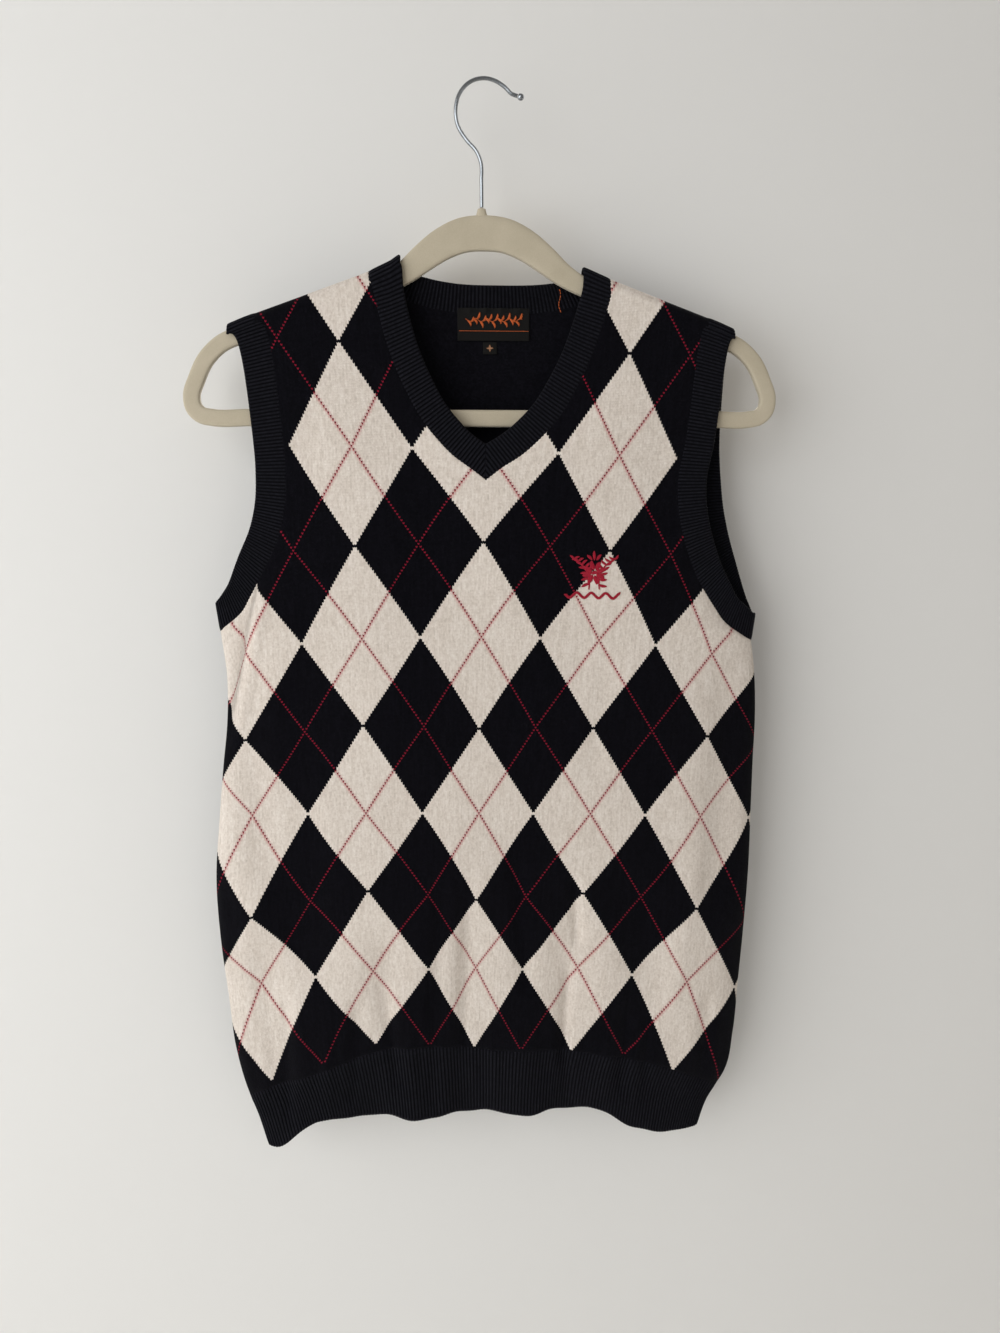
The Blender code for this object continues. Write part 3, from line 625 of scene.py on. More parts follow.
def clothX(points, sign):
    # distance along the cloth: x plus what the turn at the side adds
    step = np.diff(points, axis=1)
    extra = np.hypot(step[..., 0], step[..., 1]) - abs(step[..., 0])
    share = np.linspace(0, 1, points.shape[1])[1:]
    run = np.cumsum(extra * ease((share - sideTurn["from"]) / sideTurn["run"]), axis=1)
    run = np.concatenate([np.zeros((len(run), 1)), run], axis=1)
    return points[..., 0] + sign * run


def latticePlace(x, z):
    # v counts corner rows down the panel, u counts whole diamonds across from the centre
    rowZ = [
        height + tilt * x / 100 - droop * (abs(x) / lattice["reach"]) ** 3
        - dip * np.exp(-((x / lattice["dipWidth"]) ** 2))
        for height, tilt, droop, dip in zip(
            lattice["height"], lattice["tilt"], lattice["droop"], lattice["dip"])
    ]
    for row, lift in lattice["lift"].items():
        rowZ[row] = rowZ[row] + smooth(lattice["liftAt"], lift, x)
    v = sum(np.clip((a - z) / (a - b), 0, 1) for a, b in zip(rowZ, rowZ[1:]))
    v = v + np.minimum(0, (rowZ[0] - z) / lattice["rowAbove"])
    rows = np.arange(len(rowZ))
    centre, inner, outer = (
        np.interp(v, rows, lattice[key]) for key in ("centre", "inner", "outer"))
    away = abs(x - centre)
    u = np.where(away < inner / 2, away / inner, 0.5 + (away - inner / 2) / outer)
    return np.sign(x - centre) * u, v - 1


def argylePlace(points, sign):
    # stitch and row numbers; the cloth hidden in the pleat is skipped left of its line
    x, z = clothX(points, sign), points[..., 2]
    (footX, footZ), (headX, headZ) = underarmPleat["foot"], underarmPleat["head"]
    along = (z - footZ) / (headZ - footZ)
    line = mix(footX, headX, along)
    hidden = ease((line - points[..., 0]) / underarmPleat["width"] + 0.5)
    before, beyond = underarmPleat["past"]
    hidden = hidden * ease((along + before) * underarmPleat["fade"])
    hidden = hidden * ease((1 + beyond - along) * underarmPleat["fade"])
    u, v = latticePlace(x - hidden * underarmPleat["hidden"], z)
    column = u * 2 * argyle["stitches"] + argyle["firstStitch"]
    return stacked(column, v * argyle["rows"] + argyle["firstRow"])


def plainPlace(points, sign):
    # plain knit: stitches and rows of one size all over
    column = clothX(points, sign) / plainStitch["wide"] + plainStitch["first"]
    return stacked(column, plainStitch["firstRow"] - points[..., 2] / plainStitch["high"])


panelGrid = {"columns": 80, "crowding": 1.35, "front": (136, 40, 54, 8), "back": (136, 40, 46, 22, 8)}
panelWall = 1.7


def rowHeights(*counts):
    # even rows in each stretch
    return np.concatenate([[0.0]] + [k + np.linspace(0, 1, n + 1)[1:] for k, n in enumerate(counts)])


def panelPatches(face, place):
    # columns crowd towards the side, where the cloth turns: 1 - (1 - share)^crowding
    t = rowHeights(*panelGrid[face])[:, None]
    s = (1 - (1 - np.linspace(0, 1, panelGrid["columns"] + 1)) ** panelGrid["crowding"])[None, :]
    patches = []
    for side in ("left", "right"):
        half = newHalf(face, side)
        points = panelPoints(half, t, s)
        patches.append({
            "points": points, "knit": place(points, half["sign"]),
            "lift": np.zeros(points.shape[:2]), "turned": half["sign"] * half["out"] > 0,
        })
    return patches


def argyleKnit():
    # a = column + row/2 and b = column - row/2 in units of a diamond; their whole parts' parity
    # picks the yarn, and where either is half way a dot of red lies on every second row, with a
    # pinkish blur around it on the cream; plain navy below the last row, and beside the outermost
    # corners of the yoke, where the armhole's seam takes up what would follow
    made, tree, shader = newFinish(
        "argyleKnit", Roughness=0.92, Sheen_Weight=0.015, Sheen_Roughness=0.5, Specular_IOR_Level=0.05)
    column, row, across, along = stitchCells(tree, argyle["lean"])
    halfRow = calc(tree, "FLOOR", calc(tree, "MULTIPLY", row, 0.5))
    middle, repeat = float(argyle["stitches"]), 2.0 * argyle["stitches"]
    lines = [calc(tree, way, column, halfRow) for way in ("ADD", "SUBTRACT")]
    whole = [
        calc(tree, "FLOOR", calc(tree, "DIVIDE", calc(tree, "ADD", line, 0.5), repeat))
        for line in lines
    ]
    above = calc(tree, "LESS_THAN", row, float(argyle["firstRow"] + argyle["lastRow"]))
    out = calc(tree, "ABSOLUTE", calc(tree, "SUBTRACT", column, argyle["firstStitch"] - 0.5))
    beside = calc(tree, "GREATER_THAN", out, 3.0 * argyle["stitches"])
    level = calc(tree, "COMPARE", row, float(argyle["firstRow"] + argyle["rows"]), argyle["plainRows"])
    plain = calc(tree, "MULTIPLY", beside, level)
    shown = calc(tree, "MULTIPLY", above, calc(tree, "SUBTRACT", 1.0, plain))
    cream = calc(tree, "MULTIPLY", calc(tree, "MODULO", calc(tree, "ADD", *whole), 2.0), shown)
    places = [calc(tree, "MODULO", line, repeat) for line in lines]
    onLine, nearLine = [
        calc(tree, "MULTIPLY", shown, calc(tree, "MAXIMUM", *[
            calc(tree, "COMPARE", place, middle, reach) for place in places
        ]))
        for reach in argyle["lineReach"]
    ]
    evenRow = calc(tree, "COMPARE", calc(tree, "MODULO", row, 2.0), 0.0, 0.25)
    dot = calc(tree, "MULTIPLY", onLine, evenRow)
    wale = cellShade(tree, column, calc(tree, "FLOOR", calc(tree, "DIVIDE", row, argyle["waleRows"])))
    ownShade = calc(tree, "MULTIPLY", cellShade(tree, column, row), marl["stitch"])
    ownShade = calc(tree, "MULTIPLY_ADD", wale, marl["wale"], ownShade)
    streak = objectNoise(tree, 760.0, (1, 1, 0.34), 3.0)
    cloud = objectNoise(tree, 60.0, (1, 1, 0.5), 3.0)
    shade = calc(tree, "MULTIPLY_ADD", streak, marl["streak"], marl["base"])
    shade = calc(tree, "MULTIPLY_ADD", ownShade, marl["shade"], shade)
    shade = calc(tree, "MULTIPLY_ADD", cloud, marl["cloud"], shade)
    pale, dark = [
        node(tree, "MapRange", {
            "Value": shade, "From Min": marl["plainAt"], "From Max": marl[end],
        }).outputs[0] for end in ("paleAt", "darkAt")
    ]
    creamYarn = blendColours(tree, pale, argyle["cream"], argyle["pale"])
    dark = calc(tree, "MULTIPLY", dark, marl["darkMost"])
    creamYarn = blendColours(tree, dark, creamYarn, argyle["fleck"])
    fleck = calc(tree, "MULTIPLY", ownShade, streak)
    navyYarn = blendColours(tree, fleck, argyle["navy"], argyle["navyFleck"])
    ground = blendColours(tree, cream, navyYarn, creamYarn)
    onShare, nearShare = argyle["haloShare"]
    halo = calc(tree, "MULTIPLY_ADD", onLine, onShare, calc(tree, "MULTIPLY", nearLine, nearShare))
    ground = blendColours(tree, calc(tree, "MULTIPLY", halo, cream), ground, argyle["redHalo"])
    redYarn = blendColours(tree, cream, argyle["redOnNavy"], argyle["redOnCream"])
    ground = blendColours(tree, dot, ground, redYarn)
    return dressed(made, shader, ground, strandHeight(tree, across, along), 0.0004, 0.8)


def darkKnit(name, ribbed=False):
    # one navy yarn, each stitch a little lighter or darker; on ribs a painted highlight makes it paler
    # along each ridge, by sin(pi * rib)^2
    made, tree, shader = newFinish(
        name, Roughness=0.9, Sheen_Weight=0.02, Sheen_Roughness=0.5, Specular_IOR_Level=0.06)
    column, row, across, along = stitchCells(tree, argyle["lean"])
    ownShade = cellShade(tree, column, row)
    if ribbed:
        # painted highlight: the navy turns paler along each rib's ridge, where light would catch it
        ridge = calc(tree, "POWER", calc(tree, "SINE", calc(tree, "MULTIPLY", across, math.pi)), 2.0)
        share = calc(tree, "MULTIPLY", ridge, calc(tree, "MULTIPLY_ADD", ownShade, 0.5, 0.5))
    else:
        share = calc(tree, "MULTIPLY", ownShade, objectNoise(tree, 420.0, (1, 1, 0.3), 3.0))
    yarn = blendColours(tree, share, argyle["navy"], argyle["paintedRidgeHighlight" if ribbed else "navyFleck"])
    return dressed(made, shader, yarn, strandHeight(tree, across, along), 0.0003, 0.55)


points, knit, faces = shellOf(panelPatches("front", argylePlace), panelWall)
vestFront = writeMesh("vestFront", points, faces, knit)
fitted(vestFront, argyleKnit(), "front_knit", "front_panel")

points, knit, faces = shellOf(panelPatches("back", plainPlace), panelWall)
vestBack = writeMesh("vestBack", points, faces, knit)
navyKnit = darkKnit("navyKnit")
fitted(vestBack, navyKnit, "dark_knit", "back_panel")


# Ribs: each band is carried along its seam, with a ridge and a furrow to every rib

ribs = {
    "samples": 8, "height": 0.56, "wall": 1.5, "rowHeight": 1.15, "roundness": 0.8,
    "seamRun": 0.12, "edgeRun": 0.1,
}
bands = {
    "neck": {"pitch": 2.85, "rows": 16, "points": neckBandPoints, "from": {"front": 2, "back": 3}},
    "arm": {"pitch": 2.6, "rows": 16, "points": armBandPoints, "from": {"front": 1, "back": 1}},
    "hem": {"pitch": 2.8, "rows": 18, "points": hemBandPoints, "width": 57.0},
}


def evenStations(route, span, pitch):
    # values at even steps along the seam, and how many ribs lie before each
    at = np.linspace(*span, 900)
    seam = route(at[:, None])[:, 0]
    run = np.concatenate([[0], np.cumsum(np.linalg.norm(np.diff(seam, axis=0), axis=1))])
    count = max(1, round(run[-1] / pitch))
    steps = np.linspace(0, run[-1], count * ribs["samples"] + 1)
    return np.interp(steps, run, at), steps / run[-1] * count, run[-1]


def bandPatch(half, band, width):
    # lift = height * (2 |cos(pi * rib)|^roundness - 1), lower along the linked seam and the free edge
    if "from" in band:
        span = (band["from"][half["face"]], half["steps"])
    else:
        span = (0.0, 1.0)
    zero = np.zeros((1, 1))
    stations, rib, length = evenStations(lambda t: band["points"](half, t, zero), span, band["pitch"])
    w = np.linspace(0, 1, band["rows"] + 1)
    points = band["points"](half, stations[:, None], w[None, :])
    ridge = 2 * abs(np.cos(math.pi * rib)) ** ribs["roundness"] - 1
    seamShare = 0.35 + 0.65 * ease(w / ribs["seamRun"])
    edgeShare = 1 - 0.3 * ease((w - 1 + ribs["edgeRun"]) / ribs["edgeRun"])
    strength = ribs["height"] * seamShare * edgeShare
    rows = w * width / ribs["rowHeight"]
    return {
        "points": points, "knit": stacked(rib[:, None] + 500.5, rows[None, :] + 100.0),
        "lift": ridge[:, None] * strength[None, :], "turned": False, "length": length,
    }


def facingOut(patches):
    # a patch whose middle triangle points into the hollow is turned round
    for patch in patches:
        p = patch["points"]
        middle = p.shape[0] // 2, p.shape[1] // 2
        a, b, c = p[middle], p[middle[0], middle[1] + 1], p[middle[0] + 1, middle[1] + 1]
        patch["turned"] = bool(np.cross(b - a, c - a)[1] * a[1] < 0)
    return patches


ribKnit = darkKnit("ribKnit", ribbed=True)


def ribbedBand(name, band, halves, width, *nodes):
    # the halves of a band joined; also the length of its seam in metres
    patches = facingOut([bandPatch(half, band, width) for half in halves])
    points, knit, faces = shellOf(patches, ribs["wall"])
    piece = writeMesh(name, points, faces, knit)
    fitted(piece, ribKnit, "dark_rib", *nodes)
    return piece, sum(patch["length"] for patch in patches) * mm


allHalves = [newHalf(face, side) for face in ("front", "back") for side in ("left", "right")]
neckBand, neckLength = ribbedBand("neckBand", bands["neck"], allHalves, form["neckBand"], "neck_rib")
for side in ("left", "right"):
    halves = [half for half in allHalves if half["side"] == side]
    ribbedBand(
        "armBand_" + side, bands["arm"], halves, form["armBand"], "armhole_rib_" + side)
hemBand, hemLength = ribbedBand("hemBand", bands["hem"], allHalves, bands["hem"]["width"], "hem_rib")


# Hanger: velvet flock over a moulded body

hanger = {
    "x": (0, 15.6, 30.2, 44.3, 57.6, 70, 92, 135, 175, 193, 204, 211, 215.3, 214, 209, 201, 175, 110),
    "z": (
        -103.6, -105.2, -111.4, -121.1, -131.4, -138.6, -145.8, -161, -175.2,
        -183.2, -194, -207.5, -220, -228.3, -233.4, -235.2, -235.2, -235.2,
    ),
    "width": (
        24.6, 24.0, 22.2, 19.6, 16.2, 13.8, 13, 12.8, 12.6, 12.2, 12.2, 12.2, 12.2, 12.4,
        12.4, 12.4, 12.4, 12.4,
    ),
    "depth": 7.0, "stations": 420, "around": 36, "roundness": 4.5, "groove": 0.35, "grooveHalf": 0.5,
    "flock": (0.395, 0.345, 0.255), "worn": (0.51, 0.450, 0.345),
}
nub = {  # the cone under the wire
    "middle": -1.7, "foot": -97.0, "top": -86.0, "footHalf": (9.5, 3.3), "topHalf": (3.0, 1.9),
    "rings": 12, "roundness": 2.4, "slope": 2.2, "closing": 0.1,
}


def hangerLoop():
    # both halves of the table make one closed loop; smooth between its points by its length
    ring = [np.asarray(hanger[key], float) for key in ("x", "z", "width")]
    ring = [np.concatenate([v, (-1 if k == 0 else 1) * v[:0:-1], v[:1]]) for k, v in enumerate(ring)]
    ring = np.stack(ring, axis=1)
    run = np.concatenate([[0], np.cumsum(np.hypot(*np.diff(ring[:, :2], axis=0).T))])
    at = np.linspace(0, run[-1], hanger["stations"] + 1)[:-1]
    knots = np.concatenate([run[-4:-1] - run[-1], run, run[1:4] + run[-1]])
    laps = np.concatenate([ring[-4:-1], ring, ring[1:4]])
    return np.stack([smooth(knots, laps[:, k], at) for k in range(3)], axis=1)


def superOval(count, halfWide, halfDeep, power):
    # (cos^(2/power), sin^(2/power)) keeps the sides flat and the corners round
    angle = np.linspace(0, 2 * math.pi, count + 1)[:-1]
    c, s = np.cos(angle), np.sin(angle)
    rounded = [np.sign(v) * abs(v) ** (2 / power) for v in (c, s)]
    return stacked(halfWide * rounded[0], halfDeep * rounded[1])


def ringFaces(rings, around, closed):
    # quads between neighbouring rings of points
    index = np.arange(rings * around).reshape(rings, around)
    ahead = np.roll(index, -1, axis=0) if closed else index[1:]
    here = index if closed else index[:-1]
    return np.stack([here, np.roll(here, -1, 1), np.roll(ahead, -1, 1), ahead], -1).reshape(-1, 4)


def hangerPoints():
    # middle of the band + section across it; a shallow groove runs along both edges
    loop = hangerLoop()
    ahead = unit(np.roll(loop[:, :2], -1, axis=0) - np.roll(loop[:, :2], 1, axis=0))
    section = superOval(hanger["around"], 1.0, hanger["depth"] / 2, hanger["roundness"])
    pinch = hanger["groove"] * np.exp(-((section[:, 1] / hanger["grooveHalf"]) ** 2))
    across = section[None, :, 0] * loop[:, 2:3] / 2 - (pinch * np.sign(section[:, 0]))[None, :]
    x = loop[:, :1] - across * ahead[:, 1:]
    z = loop[:, 1:2] + across * ahead[:, :1]
    return stacked(x, section[None, :, 1], z)


def nubPoints():
    # rings from the arch up to the wire: top + (foot - top) * (1 - height)^slope wide, closed round
    k = np.linspace(0, 1, nub["rings"])[:, None]
    oval = superOval(hanger["around"], 1.0, 1.0, nub["roundness"])[None]
    wide = mix(nub["footHalf"][0], nub["topHalf"][0], 1 - (1 - k) ** nub["slope"])
    deep = mix(nub["footHalf"][1], nub["topHalf"][1], k)
    past = np.clip((k - 1 + nub["closing"]) / nub["closing"], 0, 1)
    close = np.sqrt(np.clip(1 - past**2, 0.02, 1))
    x = nub["middle"] + oval[..., 0] * wide * close
    return stacked(x, oval[..., 1] * deep * close, mix(nub["foot"], nub["top"], k))


def capFaces(first, around):
    # quads across a ring of points, from side to side
    ring = np.arange(around) + first
    k = np.arange(around // 2 - 1)
    return np.stack([ring[k], ring[k + 1], ring[-k - 2], ring[-k - 1]], -1)


def velvetFlock():
    # short nap: fine speckle, paler where it is brushed
    made, tree, shader = newFinish(
        "velvetFlock", Roughness=0.95, Sheen_Weight=0.35, Sheen_Roughness=0.4,
        Sheen_Tint=(0.95, 0.90, 0.80, 1.0), Specular_IOR_Level=0.15)
    speckle = objectNoise(tree, 1900.0, detail=3.0)
    cloud = objectNoise(tree, 45.0, detail=4.0)
    share = calc(tree, "MULTIPLY_ADD", speckle, 0.9, calc(tree, "MULTIPLY_ADD", cloud, 0.9, -0.45))
    nap = blendColours(tree, share, hanger["flock"], hanger["worn"])
    return dressed(made, shader, nap, speckle, 0.00025, 0.5)


def hangerMesh():
    # the closed loop and the capped cone in one mesh
    loop, cone = hangerPoints().reshape(-1, 3), nubPoints().reshape(-1, 3)
    around = hanger["around"]
    foot, top = len(loop), len(loop) + len(cone) - around
    faces = [
        ringFaces(hanger["stations"], around, True), ringFaces(nub["rings"], around, False)[:, ::-1] + foot,
        capFaces(top, around), capFaces(foot, around)[:, ::-1],
    ]
    return np.concatenate([loop, cone]), np.concatenate(faces)


hangerVelvet = writeMesh("hangerVelvet", *hangerMesh())
fitted(hangerVelvet, velvetFlock(), "flocking", "hanger_body")


# Hook: the plated wire and its ball keep their solids, with a better finish

wire = {"bright": (0.36, 0.38, 0.40), "dull": (0.20, 0.215, 0.23)}


def platedWire():
    # bright plating with faint drawn streaks and a few dull patches
    made, tree, shader = newFinish("platedWire", Metallic=1.0)
    dull = objectNoise(tree, 90.0, detail=4.0)
    tone = blendColours(tree, dull, wire["bright"], wire["dull"])
    rough = node(tree, "MapRange", {
        "Value": dull, "From Min": 0.3, "From Max": 0.8, "To Min": 0.12, "To Max": 0.34,
    }).outputs[0]
    tree.links.new(rough, shader.inputs["Roughness"])
    return dressed(made, shader, tone, objectNoise(tree, 2400.0, (1, 1, 0.1)), 0.00003, 0.3)


wireFinish = platedWire()
for name in ("hanger_hook", "hook_ball"):
    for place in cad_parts[name].material_slots:
        place.material = wireFinish
print("hook finished")


# Labels and thread work, laid on the cloth that is already there

def depthNet(pieces, xs, zs):
    # the nearest face's depth at each point of a coarse net, looking along +Y from inside the
    # hollow for the back, or from in front of the chest
    ready = bpy.context.evaluated_depsgraph_get()
    trees = [BVHTree.FromObject(piece, ready) for piece in pieces]
    start = -0.001 if vestBack in pieces else -0.2

    def depth(x, z):
        hits = [tree.ray_cast(Vector((x * mm, start, z * mm)), Vector((0, 1, 0)))[0] for tree in trees]
        return min(hit.y for hit in hits if hit) / mm

    return np.array([[depth(x, z) for x in xs] for z in zs])


def surfaceRule(pieces, left, right, foot, top, columns, rows):
    # bilinear between the net's points
    xs, zs = np.linspace(left, right, columns), np.linspace(foot, top, rows)
    net = depthNet(pieces, xs, zs)

    def rule(x, z):
        a = np.clip((x - left) / (right - left), 0, 0.9999) * (columns - 1)
        b = np.clip((z - foot) / (top - foot), 0, 0.9999) * (rows - 1)
        i, j = a.astype(int), b.astype(int)
        a, b = a - i, b - j
        low = mix(net[j, i], net[j, i + 1], a)
        return mix(low, mix(net[j + 1, i], net[j + 1, i + 1], a), b)

    return rule


labels = {
    "neckLabel": {"left": -19.5, "right": 34.0, "foot": -177.5, "top": -154.5, "curl": 0.7, "tucked": 0.0},
    "sizeTab": {"left": -0.5, "right": 9.5, "foot": -187.0, "top": -178.6, "curl": 0.5, "tucked": 2.0},
    "wall": 0.55, "clear": 0.35, "bow": 0.35, "threadRise": 0.5,
    "satin": (0.0030, 0.0028, 0.0027), "satinPale": (0.0085, 0.0078, 0.0072),
}
insideBack = surfaceRule([vestBack, neckBand], -24.0, 66.0, -190.0, -142.5, 40, 24)


def wovenSatin():
    # fine crosswise threads with a faint sheen: 0.4 |sin(9 x)| + |sin(14 z)|
    made, tree, shader = newFinish(
        "wovenSatin", Roughness=0.7, Sheen_Weight=0.02, Specular_IOR_Level=0.10)
    split = node(tree, "SeparateXYZ", {0: node(tree, "UVMap", uv_map="knit").outputs[0]})
    warp, weft = [
        calc(tree, "ABSOLUTE", calc(tree, "SINE", calc(tree, "MULTIPLY", split.outputs[k], rate)))
        for k, rate in enumerate((9.0, 14.0))
    ]
    weave = calc(tree, "MULTIPLY_ADD", warp, 0.4, weft)
    tone = blendColours(tree, calc(tree, "MULTIPLY", weave, 0.6), labels["satin"], labels["satinPale"])
    return dressed(made, shader, tone, weave, 0.0001, 0.4)


def labelPatch(place):
    # the cloth behind, moved forward; ends pressed down, the foot curling away by share^4
    across, share = np.meshgrid(np.linspace(0, 1, 72), np.linspace(1, 0, 34))
    x, z = mix(place["left"], place["right"], across), mix(place["top"], place["foot"], share)
    bow = np.sin(math.pi * across) * np.sin(math.pi * share) * labels["bow"]
    y = insideBack(x, z) - labels["clear"] - labels["wall"] / 2 - bow - place["curl"] * share**4
    return {
        "points": stacked(x, y, z), "knit": stacked(x, z), "lift": np.zeros(x.shape), "turned": False,
    }


satin = wovenSatin()
for name, solid in (("neckLabel", "neck_label"), ("sizeTab", "size_tab")):
    points, knit, faces = shellOf([labelPatch(labels[name])], labels["wall"])
    piece = writeMesh(name, points, faces, knit)
    fitted(piece, satin, "woven_label", solid)
    place = labels[name]


def threadTubes(starts, ends, surface, radius, lift):
    # each thread: start + (end - start) k, stood off the cloth by radius / 2 + lift * sin(pi k);
    # six rings of six points each, smaller at both ends
    k = np.linspace(0, 1, 6)
    centre = starts[:, None] + (ends - starts)[:, None] * k[None, :, None]
    x, z = centre[..., 0], centre[..., 1]
    y = surface(x, z) - radius * 0.5 - lift * np.sin(math.pi * k)[None, :]
    run = unit(ends - starts)
    angle = np.arange(6) * math.pi / 3
    size = radius * np.clip(np.sin(math.pi * (0.08 + 0.84 * k)) * 1.6, 0.25, 1.0)
    wide = size[None, :, None] * np.cos(angle)[None, None, :]
    high = size[None, :, None] * np.sin(angle)[None, None, :]
    points = stacked(
        x[..., None] - run[:, None, None, 1] * wide, y[..., None] - high,
        z[..., None] + run[:, None, None, 0] * wide)
    one = ringFaces(6, 6, False)
    caps = np.array([[0, 3, 2, 1], [0, 5, 4, 3], [30, 31, 32, 33], [30, 33, 34, 35]])
    one = np.concatenate([one[:, ::-1], caps[:, ::-1]])
    faces = one[None] + (np.arange(len(starts)) * 36)[:, None, None]
    return points.reshape(-1, 3), faces.reshape(-1, 4)


def curved(start, end, bend, count):
    # start + (end - start) k + 4 bend k (1 - k) square to it
    start, run = np.array(start, float), np.subtract(end, start)
    k = np.linspace(0, 1, count)[:, None]
    square = np.array([-run[1], run[0]]) / np.linalg.norm(run)
    return start + run * k + square * bend * 4 * k * (1 - k)


def sidesOf(spine, halfWidth, lean):
    # threads across a line: square to it by the half width, leaning ahead by a share of that
    along = unit(np.gradient(spine, axis=0))
    across = (stacked(-along[:, 1], along[:, 0]) + along * lean) * halfWidth
    return spine - across, spine + across


def satinLeaf(start, end, bend, halfWidth, pitch, power=0.75):
    # threads across a curved spine, as wide as sin(pi k)^power
    count = max(4, int(np.linalg.norm(np.subtract(end, start)) / pitch))
    wide = halfWidth * np.sin(math.pi * np.linspace(0.06, 0.94, count))[:, None] ** power
    return sidesOf(curved(start, end, bend, count), wide, 0.5)


def satinLine(spine, halfWidth):
    # threads of one width across any line
    return sidesOf(spine, halfWidth, 0.6)


def gathered(pairs):
    # all starts in one array and all ends in another
    return np.concatenate([a for a, _ in pairs]), np.concatenate([b for _, b in pairs])


motif = {
    "centre": (81.8, -350.0), "pitch": 0.42, "radius": 0.27, "lift": 0.22,
    "petals": 8, "petalTurn": 0.2, "petalFrom": 2.4, "petalTo": 8.8, "petalBend": 0.4, "petalHalf": 2.0,
    "heart": 1.9, "heartHalf": 1.6, "buds": ((-0.75, 5.0), (0.0, 6.4), (0.75, 5.0)),
    "budsApart": 2.4, "budsUp": 9.6, "budBend": 0.3, "budHalf": 1.25,
    "root": (4.0, -12.5), "tip": (16.5, 10.5), "stemBend": 5.0, "stemHalf": 0.6, "stemPoints": 60,
    "leavesAt": (0.12, 0.27, 0.42, 0.57, 0.72, 0.86, 0.97), "leafSpread": 0.95, "leafBend": 0.5,
    "leafLength": 6.4, "shorter": 2.4, "upperLonger": 0.5, "leafHalf": 1.3, "thinner": 0.35,
    "waveFrom": 60.0, "waveTo": 102.0, "waveHeight": -367.3, "wave": 1.9, "waveLength": 11.0,
    "waveFall": 0.03, "waveHalf": 1.15, "colour": (0.42, 0.008, 0.032), "dark": (0.21, 0.004, 0.014),
}


def motifThreads():
    # a rosette of satin petals, a leafy spray on each side, buds above and a waved line below
    cx, cz = motif["centre"]
    pairs = []

    def leaf(start, end, bend, halfWidth, power=0.75):
        pairs.append(satinLeaf(start, end, bend, halfWidth, motif["pitch"], power))

    for angle in np.arange(motif["petals"]) * 2 * math.pi / motif["petals"] + motif["petalTurn"]:
        out = np.array([math.cos(angle), math.sin(angle)])
        ends = [(cx, cz) + out * motif[key] for key in ("petalFrom", "petalTo")]
        leaf(*ends, motif["petalBend"], motif["petalHalf"])
    leaf((cx - motif["heart"], cz), (cx + motif["heart"], cz), 0.0, motif["heartHalf"], 0.5)
    for lean, length in motif["buds"]:
        foot = np.array([cx + lean * motif["budsApart"], cz + motif["budsUp"]])
        tip = foot + np.array([math.sin(lean), math.cos(lean)]) * length
        leaf(foot, tip, motif["budBend"] * lean, motif["budHalf"])
    for side in (-1, 1):
        root, tip = [np.array([cx + side * motif[key][0], cz + motif[key][1]]) for key in ("root", "tip")]
        stem = curved(root, tip, side * motif["stemBend"], motif["stemPoints"])
        pairs.append(satinLine(stem, motif["stemHalf"]))
        for share in motif["leavesAt"]:
            at = stem[int(share * (motif["stemPoints"] - 1))]
            for hand in (-1, 1):
                turn = math.radians(90 - side * (62 - 75 * share)) + hand * side * motif["leafSpread"]
                length = motif["leafLength"] - motif["shorter"] * share
                length = length + (motif["upperLonger"] if hand > 0 else 0)
                end = at + np.array([math.cos(turn), math.sin(turn)]) * length
                leaf(at, end, motif["leafBend"] * hand, motif["leafHalf"] - motif["thinner"] * share)
    x = np.arange(motif["waveFrom"], motif["waveTo"], motif["pitch"])
    z = motif["waveHeight"] + motif["wave"] * np.sin(x / motif["waveLength"] * 2 * math.pi)
    pairs.append(satinLine(stacked(x, z - (x - cx) * motif["waveFall"]), motif["waveHalf"]))
    return gathered(pairs)


def stitchThread(name, colour, dark):
    # embroidery thread with a dull shine and fine darker specks
    made, tree, shader = newFinish(name, Roughness=0.55, Sheen_Weight=0.04, Specular_IOR_Level=0.2)
    shade = objectNoise(tree, 2600.0)
    return dressed(made, shader, blendColours(tree, shade, dark, colour), shade, 0.00008, 0.4)


def threadPiece(name, starts, ends, surface, radius, lift, finish, slot):
    # all the threads of one kind as one piece
    points, faces = threadTubes(starts, ends, surface, radius, lift)
    return fitted(writeMesh(name, points, faces), finish, slot)


onChest = surfaceRule([vestFront], 52.0, 116.0, -380.0, -328.0, 24, 20)
redThread = stitchThread("redThread", motif["colour"], motif["dark"])
threadPiece(
    "chestMotif", *motifThreads(), onChest, motif["radius"], motif["lift"], redThread, "front_knit")

labelWork = {
    "stemFrom": -13.5, "stemTo": 28.5, "stemHeight": -162.8, "wave": 1.1, "waveLength": 8.4,
    "stemHalf": 0.34, "leafHalf": 0.95, "leafPitch": 0.36, "step": 0.45,
    "lineFrom": -18.6, "lineTo": 33.0, "lineHeight": -170.6, "stitch": 1.45, "stitchStep": 1.3,
    "tabMiddle": (4.5, -182.9), "tabArms": ((0, 2.3, 0.9), (2.3, 0, 0.8)),
    "colour": (0.62, 0.135, 0.030), "dark": (0.36, 0.065, 0.014), "pale": (0.42, 0.33, 0.20),
}
seamWork = {"x": 56.2, "top": -140.5, "length": 16.5, "sway": 0.9, "swayRate": 7.0, "slant": 1.1}


